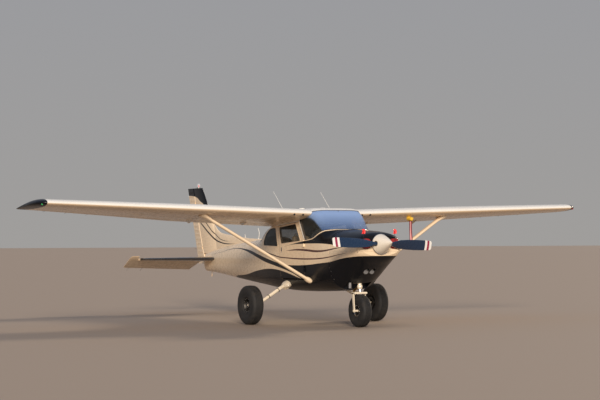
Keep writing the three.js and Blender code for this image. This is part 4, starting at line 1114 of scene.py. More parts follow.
def build_wings():
    xs = list(np.linspace(WING_ROOT, WING_TAPER, 8)) + list(np.linspace(WING_TAPER, WING_TIP, 12))[1:]
    wing = loft("wing_skin", [wing_ring(x) for x in xs])
    front = flap_front()
    (x0, s0), (x1, s1) = AILERON_SPAN
    for (a, sa), (b, sb) in (((FLAP_SPAN[0], front - DOOR_GAP), (FLAP_SPAN[1], front - DOOR_GAP)),
                             ((x0, s0 - 0.04), (x1, s1 - 0.04))):
        a, b = a - DOOR_GAP, b + DOOR_GAP
        outline = [(a, sa), (b, sb), (b, BAY_REAR), (a, BAY_REAR)]
        boolean(wing, loft("bay", [[(x, s, z) for x, s in outline] for z in (1.5, 2.5)]))
    boolean(wing, body_loft("cabin_grown", CABIN_ROWS, -0.0005))
    parts = [wing]
    for x in FLAP_BRACKETS:
        s, z = flap_axis(x)
        low = wing_at(x)[4](0.66, -1)
        plate = [(low[1] - .13, low[2] + .03), (low[1] + .02, low[2] + .03), (s + .022, z + .01),
                 (s + .014, z - .018), (s - .014, z - .018)]
        parts.append(prism("flap_plate", rounded(plate, 0.008, 3), x, x + 0.010))
        pin_end = (x + 0.023, *flap_axis(x + 0.023))
        parts.append(rod("flap_pin", (x + 0.001, *flap_axis(x)), pin_end, 0.007, 16))
    ring = wing_at(STRUT_END)[4](0.32, -1)
    parts.append(tie_ring((STRUT_END, ring[1], STRUT_TIE_HEIGHT), ring[2] + 0.01))
    # The faces that look down get the underside paint: a cream tone with painted shade, darker and browner
    # than the top.
    both(painted_shade_below(joined("wing_skin_left", parts)), "wing_skin", "airframe",
         ["white", "under"], "wing")

    rings = [surface_ring(x, FLAP_CUT + 0.032, 0.026, bead(f * BEAD_PITCH))
             for x, f in beaded_stations(*FLAP_SPAN)]
    flap = loft("flap_skin", rings)
    boolean(flap, block("flap_limit", (0, 6), (front, 2.7), (1.4, 2.5)), "INTERSECT")
    arms = [flap]
    for x in FLAP_BRACKETS:
        low = wing_at(x)[4](0.78, -1)
        s, z = flap_axis(x)
        arm = [(low[1] - .04, low[2] + .02), (low[1] + .09, low[2] + .024), (s + .016, z - .016),
               (s - .016, z - .016), (s - .016, z + .012)]
        arm = prism("flap_arm", rounded(arm, 0.006, 3), x + 0.011, x + 0.020)
        hole_end = (x + 0.03, *flap_axis(x + 0.03))
        arms.append(boolean(arm, rod("flap_hole", (x, *flap_axis(x)), hole_end, 0.0073, 16)))
    both(painted_shade_below(joined("flap_skin_left", arms)), "flap_skin", "flap", ["white", "under"],
         "flap")

    rings = []
    for x, f in beaded_stations(x0, x1):
        chord, pitch, lead = wing_at(x)[:3]
        hinge = s0 + (s1 - s0) * (x - x0) / (x1 - x0)
        share = (hinge - lead) / (chord * math.cos(pitch))
        rings.append(surface_ring(x, share, 0.027, bead(f * BEAD_PITCH)))
    both(painted_shade_below(loft("aileron_skin_left", rings)), "aileron_skin", "aileron",
         ["white", "under"], "aileron")
    build_tips()


def rod(name, a, b, radius, count=20, end_radius=None):
    """A round bar from a to b, given as (across, station, height)."""
    a, b = Vector(a), Vector(b)
    along = (b - a).normalized()
    side = along.orthogonal().normalized()
    up = along.cross(side)
    rings = [[tuple(p + (side * math.cos(t) + up * math.sin(t)) * r) for t in turns(count)]
             for p, r in ((a, radius), (b, radius if end_radius is None else end_radius))]
    return loft(name, rings)


def pipe(name, points, radius, count=12, closed=False, flat=1.0):
    """A tube along points; flat squeezes it across its second direction."""
    points = [Vector(p) for p in points]
    rings = []
    last = None
    n = len(points)
    for i, p in enumerate(points):
        a = points[(i - 1) % n] if closed or i else p
        b = points[(i + 1) % n] if closed or i < n - 1 else p
        along = (b - a).normalized()
        if last is None:
            last = along.orthogonal().normalized()
        side = (last - along * last.dot(along)).normalized()
        last = side
        up = along.cross(side)
        rings.append([tuple(p + side * math.cos(t) * radius + up * math.sin(t) * radius * flat)
                      for t in turns(count)])
    if closed:
        rings.append(rings[0])
    return loft(name, rings, caps=not closed)


def tie_ring(low, top):
    """A tie-down eye whose lowest point is given, on a stem up to a height."""
    x, s, z = low
    radius = 0.018
    eye = [(x, s + radius * math.cos(t), z + 0.005 + radius + radius * math.sin(t)) for t in turns(18)]
    return joined("tie_ring", [pipe("eye", eye, 0.005, 8, True),
                               rod("stem", (x, s, z + 2 * radius), (x, s, top), 0.008, 12)])


def build_tips():
    _, _, lead, height, point = wing_at(WING_TIP)
    base = wing_ring(WING_TIP)
    tail = point(1, 1)
    # distance across, cut from the leading and the trailing edge, share of the thickness
    columns = [(WING_TIP + PROUD, 0, 0, 1), (5.30, .008, 0, .97), (5.33, .025, 0, .92),
               (5.36, .052, .003, .84), (5.39, .09, .008, .74), (5.413, .14, .022, .62),
               (5.432, .21, .04, .5), (5.448, .31, .07, .36), (HALF_SPAN, .43, .12, .2)]
    rings = []
    for x, cut, rear, thick in columns:
        ring = []
        for _, s, z in base:
            u = (s - lead) / (tail[1] - lead)
            mid = height + (tail[2] - height) * u
            place = lead + cut + (tail[1] - rear - lead - cut) * u
            line = height + (tail[2] - height) * (place - lead) / (tail[1] - lead)
            ring.append((x, place, line + (z - mid) * thick + (x - WING_TIP) * DIHEDRAL))
        rings.append(ring)
    both(loft("wing_tip_skin", rings), "wing_tip_skin", "airframe", "black", "wing_tip")


# Tail

FIN_ROWS = [(1.215, 5.42, .358), (1.25, 5.42, .358), (1.7, 5.64, .328), (2.4, 6.16, .312),
            (2.56, 6.285, .294)]
RUDDER_ROWS = [(1.0, 5.6, .375)] + FIN_ROWS[1:]
FIN_BRACKETS = (1.33, 2.25)
ELEVATOR_AXIS = (6.05, 1.092)
ELEVATOR_HINGES = (.33, 1.2)
STABILISER_LEAD, STABILISER_REAR = (5.32, 5.7), 6.012
STABILISER_ROOT, STABILISER_WIDE = .04, 1.505
FIN_SHARE, STABILISER_SHARE = .66, .62  # of the whole chord, ahead of the rudder and the elevator
FIN_THICKNESS, STABILISER_THICKNESS = .09, .085
TAIL_RINGS = .12

# The dorsal fillet: station, foot, top, half width
DORSAL_ROWS = [(3.33, 1.48, 1.513, .006), (3.6, 1.44, 1.51, .018), (4.07, 1.4, 1.522, .027),
               (4.65, 1.35, 1.558, .034), (5.155, 1.3, 1.607, .04), (5.342, 1.28, 1.63, .04),
               (5.43, 1.27, 1.652, .038), (5.52, 1.26, 1.69, .033), (5.6, 1.25, 1.737, .026),
               (5.68, 1.25, 1.795, .018), (5.76, 1.25, 1.868, .009)]
ELEVATOR_DROOP = math.radians(27)


def fin_hinge(z):
    return 6.178 + (z - 1.25) * 0.403


def fin_point(u, z, side, close=1.0):
    """A point on the fin from a share of its chord and a height."""
    lead = column(FIN_ROWS, z, 1)
    chord = (fin_hinge(z) - 0.034 - lead) / FIN_SHARE
    return (side * half_thickness(u, FIN_THICKNESS) * chord * close, lead + u * chord, z)


def stabiliser_point(u, x, side):
    """A point on the left stabiliser from a share of its chord and a distance across."""
    first, last = STABILISER_LEAD
    lead = first + (last - first) * (x - STABILISER_ROOT) / STABILISER_WIDE
    chord = (STABILISER_REAR - lead) / STABILISER_SHARE
    s = lead + u * chord
    middle = 1.112 - .02 * (s - lead) / (ELEVATOR_AXIS[0] - lead)
    return (x, s, middle + side * half_thickness(max(u, 0), STABILISER_THICKNESS) * chord)


def build_tail():
    cone = body_loft("tailcone_skin", TAIL_ROWS, step=TAIL_RINGS)
    cone = joined("tailcone_skin", [cone, tie_ring((0, 5.815, .74), .87)])
    piece(cone, "airframe", "body", ["tailcone"])
    grown = body_loft("tail_grown", TAIL_ROWS, -0.0005, step=TAIL_RINGS)
    build_fin(grown)
    build_rudder()

    rings = []
    shares = [u * STABILISER_SHARE for u in np.linspace(0, 1, 20) ** 1.8]
    for x in np.linspace(STABILISER_ROOT, STABILISER_ROOT + STABILISER_WIDE, 12):
        rings.append([stabiliser_point(u, x, 1) for u in shares]
                     + [stabiliser_point(u, x, -1) for u in shares[:0:-1]])
    half = loft("stabiliser_skin", rings)
    boolean(half, grown)
    s, z = ELEVATOR_AXIS
    for x in ELEVATOR_HINGES:
        half = joined("stabiliser_skin_left", [
            half, block("bracket", (x - .005, x + .005), (5.952, s), (z - .011, z + .011)),
            rod("bracket_eye", (x - .005, s, z), (x + .005, s, z), .016)])
    both(half, "stabiliser_skin", "airframe", "stabiliser", "stabiliser")
    build_elevator()


def build_fin(grown):
    """The fin with its dorsal fillet and the brackets that the rudder turns on."""
    rings = []
    shares = [u * FIN_SHARE for u in np.linspace(0, 1, 20) ** 1.8]
    for z in list(np.linspace(1.215, 1.7, 8)) + list(np.linspace(1.7, 2.53, 10))[1:] + [2.552, 2.56]:
        top = [fin_point(u, z, 1, 0.75 if z > 2.555 else 1.0) for u in shares]
        rings.append(top + [(-x, s, h) for x, s, h in top[:0:-1]])
    fin = loft("fin_skin", rings)
    rings = []
    for s in list(np.linspace(3.33, 5.25, 24)) + list(np.linspace(5.25, 5.76, 12))[1:]:
        low, top, half = (column(DORSAL_ROWS, s, k) for k in (1, 2, 3))
        arc = [(half * math.cos(a) ** 0.8, s, low + (top - low) * (0.45 + 0.55 * math.sin(a)))
               for a in np.linspace(0, math.pi / 2, 8)[:-1]]
        rings.append([(half, s, low)] + arc + [(0, s, top)] + [(-x, q, z) for x, q, z in arc[::-1]]
                     + [(-half, s, low)])
    boolean(fin, loft("dorsal", rings), "UNION")
    boolean(fin, grown, keep=True)
    parts = [fin]
    for z in FIN_BRACKETS:
        s = fin_hinge(z)
        parts.append(block("bracket", (-.006, .006), (s - .09, s), (z - .016, z + .012)))
        parts.append(rod("bracket_eye", (0, fin_hinge(z - .02), z - .02), (0, fin_hinge(z + .02), z + .02),
                         .012))
    piece(joined("fin_skin", parts), "airframe", "body", ["fin"])


def build_rudder():
    rings = []
    for z, f in beaded_stations(1.0, 2.56, 0.09):
        lead, chord = (column(RUDDER_ROWS, z, k) for k in (1, 2))
        half = half_thickness(FIN_SHARE, FIN_THICKNESS) * (fin_hinge(z) - .034 - lead) / FIN_SHARE
        half = max(.016, half)
        rise = bead(f * 0.09, 0.09)
        side = [(0.4 * half, -.02), (.8 * half, -.006), (half, .008)]
        for t in np.linspace(0.08, 0.94, 8):
            face = np.interp(t, [0.02, .45, 1], [half, half * .6, .002])
            side.append((float(face) + rise * min(1, (t - .08) / .06) * min(1, (.94 - t) / .06), t * chord))
        side.append((.002, chord))
        rings.append([(x, fin_hinge(z) + b, z) for x, b in side]
                     + [(-x, fin_hinge(z) + b, z) for x, b in side[::-1]])
    rudder = loft("rudder_skin", rings)
    parts = [rudder]
    for z in FIN_BRACKETS:
        s = fin_hinge(z)
        boolean(rudder, block("notch", (-.06, .06), (s - .06, s + .026), (z - .028, z + .028)))
        parts.append(rod("rudder_pin", (0, fin_hinge(z + .0203), z + .0203),
                         (0, fin_hinge(z + .036), z + .036), .009))
    piece(joined("rudder_skin", parts), "rudder", "body", ["rudder"])


def build_elevator():
    s0, z0 = ELEVATOR_AXIS
    c, sn = math.cos(ELEVATOR_DROOP), math.sin(ELEVATOR_DROOP)

    def turn(x, ds, dz):
        return (x, s0 + ds * c + dz * sn, z0 + dz * c - ds * sn)

    def ring(x, chord, half, nose, rise=0.0):
        out = [turn(x, nose * math.cos(a), half * math.sin(a))
               for a in np.linspace(math.pi / 2, 1.5 * math.pi, 11)]
        back = []
        for t in np.linspace(0.1, 0.95, 8):
            face = np.interp(t, [0, .5, 1], [half, half * .62, .003])
            back.append((chord * t, float(face) + rise * min(1, (t - .1) / .06) * min(1, (.95 - t) / .06)))
        out += [turn(x, a, -b) for a, b in back] + [turn(x, chord, -.003), turn(x, chord, .003)]
        return out + [turn(x, a, b) for a, b in back[::-1]]

    def chord_at(x):
        return .475 + (.352 - .475) * (x - .105) / 1.62

    rings = [ring(.105, .06, .027, .03), ring(.15, .22, .027, .03)]
    for x, f in beaded_stations(.225, 1.547):
        rings.append(ring(x, chord_at(x), .027 - .007 * (x - .225) / 1.32, .03, 1.5 * bead(f * BEAD_PITCH)))
    main = loft("elevator_skin", rings)
    boolean(main, loft("bridge", [ring(x, chord_at(1.545), .02, .03) for x in (1.54, 1.57)]), "UNION")
    # distance across, place that gives the chord, cut from the chord, half depth, reach ahead of the axis
    horn = [(1.553, 1.545, 0, .022, .165), (1.66, 1.66, 0, .0205, .165), (1.685, 1.7, 0, .019, .165),
            (1.705, 1.72, .008, .015, .15), (1.718, 1.725, .018, .011, .132), (1.725, 1.725, .03, .008, .115)]
    horn = [ring(x, chord_at(place) - cut, half, nose) for x, place, cut, half, nose in horn]
    boolean(main, loft("horn", horn), "UNION")
    parts = [main, rod("torque_tube", (PROUD, s0, z0), (.115, s0, z0), .016)]
    for x in ELEVATOR_HINGES:
        boolean(main, rod("notch", (x - .0053, s0, z0), (x + .0053, s0, z0), .046, 32))
        parts.append(rod("hinge_pin", (x + .0053, s0, z0), (x + .02, s0, z0), .012))
    both(joined("elevator_skin_left", parts), "elevator_skin", "elevator", "elevator",
         "elevator")


# Nose

PROP_CENTRE = Vector((0, -.935, 1.428))
PROP_TILT, PROP_PARKED = math.radians(4.5), math.radians(2)
COWL_SPLIT = 1.3
INLET_X, INLET_HEIGHT, INLET_WIDE, INLET_TALL = .272, 1.432, .095, .092
LAMP_X, LAMP_STATION, LAMP_HEIGHT = .058, -.424, .962

# The blades: distance from the hub, half chord, half thickness, pitch in degrees
BLADE_ROWS = [(.07, .03, .028, 50), (.12, .033, .027, 47), (.18, .042, .024, 42), (.25, .062, .019, 35),
              (.33, .08, .015, 30), (.47, .088, .012, 25), (.62, .09, .009, 20), (.74, .088, .0075, 17.5),
              (.86, .084, .006, 15), (.92, .08, .0048, 13.5), (.945, .074, .004, 13),
              (.957, .062, .0033, 13), (.96, .05, .0025, 13)]


def inlet_ring(side, station, grow, count=32):
    """A ring round a cooling inlet, larger than it by grow."""
    bulge = lambda v: math.copysign(abs(v) ** 0.7, v)
    return [(side * INLET_X + (INLET_WIDE + grow) * bulge(math.cos(a)), station,
             INLET_HEIGHT + (INLET_TALL + grow) * bulge(math.sin(a))) for a in turns(count)]


def build_cowl():
    outer = body_loft("cowl_outer", COWL_ROWS, step=0.03)
    inner = body_loft("cowl_inner", COWL_ROWS, 0.014, 0.03, step=0.06)
    boolean(inner, block("bay_limit", (-1, 1), (-.836, .1), (0, 3)), "INTERSECT")
    boolean(outer, inner)
    for side in (1, -1):
        boolean(outer, loft("inlet", [inlet_ring(side, s, 0) for s in (-.9, -.78)]))
    boolean(outer, rod("shaft_hole", (0, -.9, PROP_CENTRE.z), (0, -.78, PROP_CENTRE.z), .07, 32))
    upper = copy_of(outer, "upper_cowl_skin")
    boolean(upper, block("upper", (-1, 1), (-1, .1), (COWL_SPLIT + SEAM, 2)), "INTERSECT")
    boolean(outer, block("lower", (-1, 1), (-1, .1), (.4, COWL_SPLIT)), "INTERSECT")
    boolean(outer, prism("exit", [(-.19, .5), (.04, .5), (.04, .79), (-.19, .79)], -.23, .23))
    for x in (LAMP_X, -LAMP_X):
        boolean(outer, rod("lamp_hole", (x, -.56, LAMP_HEIGHT), (x, -.4, LAMP_HEIGHT), .049, 32))
    outer.name = "lower_cowl_skin"
    piece(upper, "airframe", "body", ["upper_cowl"])
    piece(outer, "airframe", "body", ["lower_cowl"])


def in_hub(obj):
    """Moves a shape made about the hub's own centre to its tilted place."""
    turn = Matrix.Rotation(-PROP_TILT, 4, "X") @ Matrix.Rotation(PROP_PARKED, 4, "Y")
    move = Matrix.Translation(Vector(at(*PROP_CENTRE))) @ turn @ Matrix.Translation((0, -FIREWALL_Y, 0))
    obj.data.transform(move)
    return obj


def build_propeller():
    base, radius, length = .055, .166, .366
    radii = [(1e-5, 0)] + [(max(radius * (1 - t ** 1.15), 1e-4), t)
                           for t in [0.0] + [(k / 28) ** 0.9 for k in range(29)]]
    spinner = loft("spinner_shell", [[(r * math.cos(a), base - length * t, r * math.sin(a))
                                      for a in turns(64)] for r, t in radii])
    for side in (1, -1):
        boolean(spinner, rod("blade_hole", (side * .04, 0, 0), (side * .2, 0, 0), .046, 32))
    boolean(spinner, rod("hub_hole", (-.076, 0, 0), (.076, 0, 0), .0423, 32))
    piece(in_hub(spinner), "propeller", "spinner", ["spinner"])
    plate = spun("spinner_plate", [(0, 0), (.171, 0), (.173, .003), (.171, .007), (0, .007)],
                 (0, base + .0004, 0), (0, 1, 0), 72)
    boolean(plate, rod("plate_bore", (0, base - .02, 0), (0, base + .03, 0), .05, 48))
    piece(in_hub(plate), "propeller", "chrome")
    parts = [rod("hub_core", (-.075, 0, 0), (.075, 0, 0), .042, 32)]
    for side in (1, -1):
        rings = []
        for r, half, thick, degrees in BLADE_ROWS:
            a = math.radians(degrees)
            ring = []
            for t in turns(28):
                c, k = half * math.cos(t), thick * math.sin(t)
                ring.append((side * r, k * math.cos(a) - c * math.sin(a) * side,
                             c * math.cos(a) + k * math.sin(a) * side))
            rings.append(ring)
        parts.append(loft("blade", rings))
    piece(in_hub(joined("propeller_blades_shaped", parts)), "propeller", "blade",
          ["propeller_blades"])


# Wheels and gear

# Wheels: distance across, station, radius, width, radius of the rim
WHEELS = {
    "left": (1.276, 1.478, .345, .226, .13), "right": (-1.276, 1.478, .345, .226, .13),
    "nose": (0, -.172, .28, .186, .092),
}


# A tyre's outline: height above the rim and distance from the middle, as shares
TYRE_SHAPE = [(0, .62), (.06, .7), (.1, .8), (.13, .79), (.25, .9), (.4, .975), (.55, 1.0), (.68, .99),
              (.8, .95), (.885, .87), (.945, .74), (.975, .62), (.988, .54), (.988, .42), (.955, .4),
              (.955, .345), (.993, .33), (.997, .2), (.965, .185), (.965, .145), (1.0, .13), (1.0, 0.02),
              (.97, .01)]


def wheel_turned(name, profile, x, station, z, count):
    rings = []
    for t in turns(count):
        rings.append([(x + w, station + r * math.sin(t), z - r * math.cos(t)) for r, w in profile])
    rings.append(rings[0])
    return loft(name, rings, caps=False)


def build_wheels():
    for name, (x, station, radius, width, rim) in WHEELS.items():
        half, tall = width / 2, radius - rim
        profile = [(rim + tall * a, -half * w) for a, w in TYRE_SHAPE]
        profile += [(rim + tall * a, half * w) for a, w in TYRE_SHAPE[::-1]]
        body = wheel_body(name)
        piece(wheel_turned("tyre_tread_" + name, profile, x, station, radius, 96), body, "rubber",
              ["tyre_" + name], 40)
        build_hub(name, x, station, radius, half, rim, body)


def build_hub(name, x, station, radius, half, rim, body):
    """A cast wheel: rim flanges, dished web with holes, and on the main wheels the brake's disc."""
    r = rim * math.cos(math.pi / 36) - .0008
    bore = AXLE + .0004
    shape = [(bore, .45), (r * .4, .46), (r * .44, .4), (r * .48, .2), (r * .8, .24), (r * .86, .5),
             (r * .91, .6), (r * .985, .645), (r, .62)]
    profile = [(a, -half * w) for a, w in shape] + [(a, half * w) for a, w in shape[::-1]]
    hub = wheel_turned("hub", profile, x, station, radius, 72)
    for k in range(6):
        a = math.pi / 3 * (k + .5)
        s, z = station + r * .64 * math.sin(a), radius + r * .64 * math.cos(a)
        boolean(hub, rod("hole", (x - half, s, z), (x + half, s, z), r * .1, 20))
    parts = [hub]
    side = 1 if x > 0 else -1
    if x:
        for a, b, radius_b in ((.04, .086, .046), (.078, .086, .104)):
            disc = rod("disc", (x - side * a, station, radius), (x - side * b, station, radius), radius_b, 64)
            boolean(disc, rod("bore", (x, station, radius), (x - side * .12, station, radius), bore, 32))
            parts.append(disc)
    piece(joined("hub_cast_" + name, parts), body, "aluminium", ["hub_" + name])
    rings = []
    for face in ((1, -1) if not x else (side,)):
        for reach, count in ((.9, 12), (.31, 6)):
            out = half * (.602 if reach > .5 else .462)
            rings.append([(Vector((x + face * out, station + r * reach * math.sin(t),
                                   radius + r * reach * math.cos(t))), Vector((face, 0, 0)))
                          for t in turns(count)])
    piece(hexagons("wheel_bolts_" + name, rings, r * .055, .006), body, "steel", smooth=20)


def wheel_body(name):
    return "nose_wheel" if name == "nose" else "main_wheel_" + name


STRUT_FOOT, STRUT_HEAD = Vector((.52, .69, .784)), Vector((2.41, .984, 1.91))
STRUT_CHORD, STRUT_DEPTH = .104, .054
AXLE = .019


def build_struts():
    # share of the length, chord, depth
    rows = [(-.02, .05, .044), (-.019, .07, .06), (-.014, .1, .078), (-.004, .118, .09), (.012, .124, .094),
            (.026, .12, .088), (.036, .112, .07), (.044, STRUT_CHORD, STRUT_DEPTH),
            (.92, STRUT_CHORD, STRUT_DEPTH), (.935, .108, .056), (.95, .126, .064), (.97, .15, .07),
            (.985, .18, .084), (1.01, .225, .095), (1.03, .24, .096)]
    rings = []
    for t, chord, depth in rows:
        centre = STRUT_FOOT.lerp(STRUT_HEAD, t)
        ring = []
        for a in turns(40):
            c, k = math.cos(a), math.sin(a)
            k *= (1 + c * .18) if .04 < t < .93 else 1
            ring.append(tuple(centre + Vector((-depth / 2 * k * .51, -chord / 2 * c, depth / 2 * k * .86))))
        rings.append(ring)
    strut = loft("wing_strut_faired", rings)
    boolean(strut, loft("wing_grown", [wing_ring(x, .0005) for x in (WING_ROOT, WING_TAPER, WING_TIP)]))
    boolean(strut, body_loft("cabin_grown", CABIN_ROWS, -.0005))
    # the end that came out above the wing goes
    work = bmesh.new()
    work.from_mesh(strut.data)
    loose = [v for v in work.verts if v.co.z > wing_at(STRUT_END)[4](.1, 1)[2]]
    bmesh.ops.delete(work, geom=loose, context="VERTS")
    work.to_mesh(strut.data)
    work.free()
    both(strut, "wing_strut_faired", "airframe", "cream", "wing_strut")


def build_legs():
    x, station, radius, width, _ = WHEELS["left"]
    elbow = Vector((x - width / 2 - .034, station, radius + .012))
    top = Vector((.452, 1.59, .735))
    grown = body_loft("cabin_grown", CABIN_ROWS, -.0005)
    leg = rod("leg", top, elbow, .034, 32, .025)
    boolean(leg, grown, keep=True)
    parts = [leg, rod("axle", (elbow.x + .004, station, radius), (x + .05, station, radius), AXLE, 32)]
    socket = [(0, -.012), (.046, -.012), (.052, -.008), (.052, .016), (.046, .02), (0, .02)]
    parts.append(spun("socket", socket, (elbow.x, station, elbow.z - .01), (1, 0, 0), 32))
    # what stands behind the elbow: station and height from it, the corners' radius, reach inward and outward
    for name, s0, s1, z0, z1, corner, inward, outward in (
            ("caliper", .05, .135, -.06, .04, .014, .004, .03),
            ("torque_plate", 0, .09, -.04, .02, .01, .008, .006)):
        outline = moved([(s0, z0), (s1, z0), (s1, z1), (s0, z1)], elbow.y, elbow.z)
        parts.append(prism(name, rounded(outline, corner), elbow.x - inward, elbow.x + outward))
    rings = []
    turn = math.radians(28)
    for a in np.linspace(-math.pi / 2, math.pi / 2, 20):
        ring, share = [], max(math.cos(a), 1e-4)
        for t in turns(40):
            px, ps, pz = .105 * math.sin(a), .12 * share * math.cos(t), .066 * share * math.sin(t)
            ring.append((.492 + px * math.cos(turn) + pz * math.sin(turn), 1.584 + ps,
                         .697 - px * math.sin(turn) + pz * math.cos(turn)))
        rings.append(ring)
    parts.append(boolean(loft("fairing", rings), grown))
    both(joined("main_leg_faired", parts), "main_leg_faired", "airframe", "gear",
         "main_gear_leg")
    # brake line, clipped along the leg's rear
    offset = Vector((0, .036, .006))
    line = [top.lerp(elbow, t) + offset * (1 - .2 * t) for t in np.linspace(.22, .96, 14)]
    line += [elbow + Vector((0, .045, .03)), elbow + Vector((.006, .07, .045))]
    clips = [rod("clip", top.lerp(elbow, t), top.lerp(elbow, t + .012), .043 - .01 * t, 24)
             for t in (.35, .65, .9)]
    both(joined("brake_line", [pipe("brake_line", line, .0045, 10)] + clips), "brake_line", "airframe",
         "seal", None)
    # boarding step on the body, below the door
    foot = pipe("step_arm", [(.455, 1.556, .65), (.48, 1.556, .625), (.52, 1.556, .61), (.56, 1.556, .61)],
                .008, 12)
    pad = prism("pad", rounded([(1.526, .613), (1.586, .613), (1.586, .62), (1.526, .62)], .003), .52, .58)
    both(joined("boarding_step", [foot, pad]), "boarding_step", "airframe", "gear", None)


NOSE_AXIS = (Vector((0, -.184, .565)), Vector((0, -.118, 1.01)))


def build_nose_leg():
    """The nose gear's strut, fork and folding links."""
    _, station, radius, width, _ = WHEELS["nose"]
    low, high = NOSE_AXIS
    way = (high - low).normalized()
    reach = (high - low).length
    profile = [(0, .2), (.026, .2), (.038, .205), (.038, .235), (.032, .24), (.032, .98), (.028, 1), (0, 1)]
    tube = spun("tube", [(r, share * reach) for r, share in profile], low, way, 40)
    clamps = [prism("clamp", rounded([(a, z0), (-.0005, z0), (-.0005, z1), (a, z1)], .01), -half, half)
              for a, z0, z1, half in ((-.16, .9, .96, .04), (-.18, .745, .8, .036))]
    piece(joined("nose_strut_tube", [tube] + clamps), "airframe", "gear", ["nose_strut"])
    crown = [(station - .036, .568), (station + .074, .568), (station + .074, .602), (station - .036, .602)]
    fork = [prism("crown", rounded(crown, .011, 4), -width / 2 - .03, width / 2 + .03)]
    # height, distance aft of the axle, half width, inner and outer face from the tyre
    rows = ((.6, .042, .03, .014, .028), (.585, .041, .034, .012, .03), (.56, .038, .033, .012, .03),
            (.44, .024, .027, .012, .03), (.34, .012, .025, .012, .03), (.29, .005, .027, .012, .03),
            (.265, .002, .023, .012, .03), (.254, 0, .014, .014, .028))
    nut = [(0, 0), (.024, 0), (.024, .006), (.013, .007), (.013, .016), (0, .016)]
    for side in (1, -1):
        rings = []
        for z, aft, half, inner, outer in rows:
            x0, x1 = sorted((side * (width / 2 + inner), side * (width / 2 + outer)))
            s0, s1 = station + aft - half, station + aft + half
            rings.append([(x, s, z) for x, s in rounded([(x0, s0), (x1, s0), (x1, s1), (x0, s1)], .006, 3)])
        fork.append(loft("arm", rings))
        fork.append(spun("nut", nut, (side * (width / 2 + .03), station, radius), (side, 0, 0), 6))
    end = width / 2 + .034
    fork.append(rod("axle", (-end, station, radius), (end, station, radius), AXLE, 32))
    at_share = lambda t: low.lerp(high, t)
    collar = rod("collar", at_share(.245), at_share(.34), .046, 40)
    fork.append(boolean(collar, rod("bore", at_share(.2), at_share(.4), .0335, 40)))
    piece(joined("nose_fork_forged", fork), "nose_fork", "gear", ["nose_fork"])
    piston = rod("nose_piston", at_share(.03), at_share(.2) - Vector((0, .0002, .0003)), .024, 40)
    piece(piston, "nose_fork", "chrome")
    lower_link = prism("link", rounded([(-.135, .6045), (.02, .605), (.04, .596), (.044, .586),
                                        (.036, .576), (.02, .573), (-.135, .57)], .006, 3), -.026, .026)
    outline = [(.03, .607), (.046, .602), (.05, .614), (.044, .622), (-.122, .712), (-.126, .684)]
    upper_link = prism("link", rounded(outline, .006, 3), -.02, .02)
    middle = [sum(p[k] for p in outline) / len(outline) for k in (0, 1)]
    hole = moved([(-.02, -.006), (.02, -.006), (.02, .006), (-.02, .006)], *middle)
    boolean(upper_link, prism("hole", rounded(hole, .005, 3), -.02, .02))
    links = [lower_link, upper_link]
    for s, z in ((.038, .589), (-.12, .695)):
        links.append(rod("link_bolt", (-.034, s, z), (.034, s, z), .007, 12))
    piece(joined("nose_links", links), "nose_fork", "brass")
    rim = [(.0865, -.062), (.0925, -.066), (.0965, -.0655), (.0965, -.0625), (.091, -.059)]
    piece(wheel_turned("nose_rim_ring", rim, 0, station, radius, 72), "nose_wheel", "chrome")


def build_gear():
    build_struts()
    build_legs()
    build_nose_leg()
    for node, name in (("firewall", "steel"), ("baggage_bulkhead", "trim"), ("cabin_floor", "trim"),
                       ("instrument_panel", "dash"), ("engine_block", "engine")):
        carry_over(node, name)
    sleeve = [(.0245, 0), (.03, 0), (.031, .05), (.029, .15), (.0245, .15)]
    piece(spun("exhaust_sleeve", sleeve, (-.17, -.1195, .668), (0, -.054, 1), 28), "airframe",
          "engine")


# Cabin fittings

CUSHION_PRESSURE, CUSHION_FRAMES = 4.0, 16
SEW_WIDTH = SEW_DEPTH = .008


def puffed(obj, voxel, cap):
    """Swells a closed shape by cloth simulation, as stuffing does, and keeps each point near its place."""
    even = obj.modifiers.new("even", "REMESH")
    even.mode = "VOXEL"
    even.voxel_size = voxel
    baked(obj)
    rest = [v.co.copy() for v in obj.data.vertices]
    cloth = obj.modifiers.new("stuffing", "CLOTH")
    cloth.settings.use_pressure = True
    cloth.settings.uniform_pressure_force = CUSHION_PRESSURE
    cloth.settings.effector_weights.gravity = 0
    cloth.point_cache.frame_end = CUSHION_FRAMES
    for frame in range(1, CUSHION_FRAMES + 1):
        bpy.context.scene.frame_set(frame)
    baked(obj)
    bpy.context.scene.frame_set(1)
    for v, start in zip(obj.data.vertices, rest):
        move = v.co - start
        if move.length > cap:
            v.co = start + move * (cap / move.length)
    return obj


def cushion(name, outline, x, upright, channels, cap=.012, voxel=.012, corner=.07, finer=True):
    """A stuffed pad from its side outline, with sewn channels.

    An upright pad has its corners rounded as seen from the front, any other as seen from above.
    """
    made = prism(name, rounded(outline, .035), *x)
    low, high = min(p[upright] for p in outline), max(p[upright] for p in outline)
    face = rounded([(x[0], low), (x[1], low), (x[1], high), (x[0], high)], corner)
    rings = [[(a, d, b) if upright else (a, b, d) for a, b in face] for d in (0, 3)]
    boolean(made, loft("corners", rings), "INTERSECT")
    puffed(made, voxel, cap)
    if finer:
        smooth = made.modifiers.new("smooth", "SUBSURF")
        smooth.levels = smooth.render_levels = 1
        baked(made)
    normals = [v.normal.copy() for v in made.data.vertices]
    for v, normal in zip(made.data.vertices, normals):
        press = sum(math.exp(-((v.co.x - c) / SEW_WIDTH) ** 2) for c in channels)
        v.co -= normal * SEW_DEPTH * press * max(0, 1 - abs(normal.x)) ** .5
    made.name = name
    return made


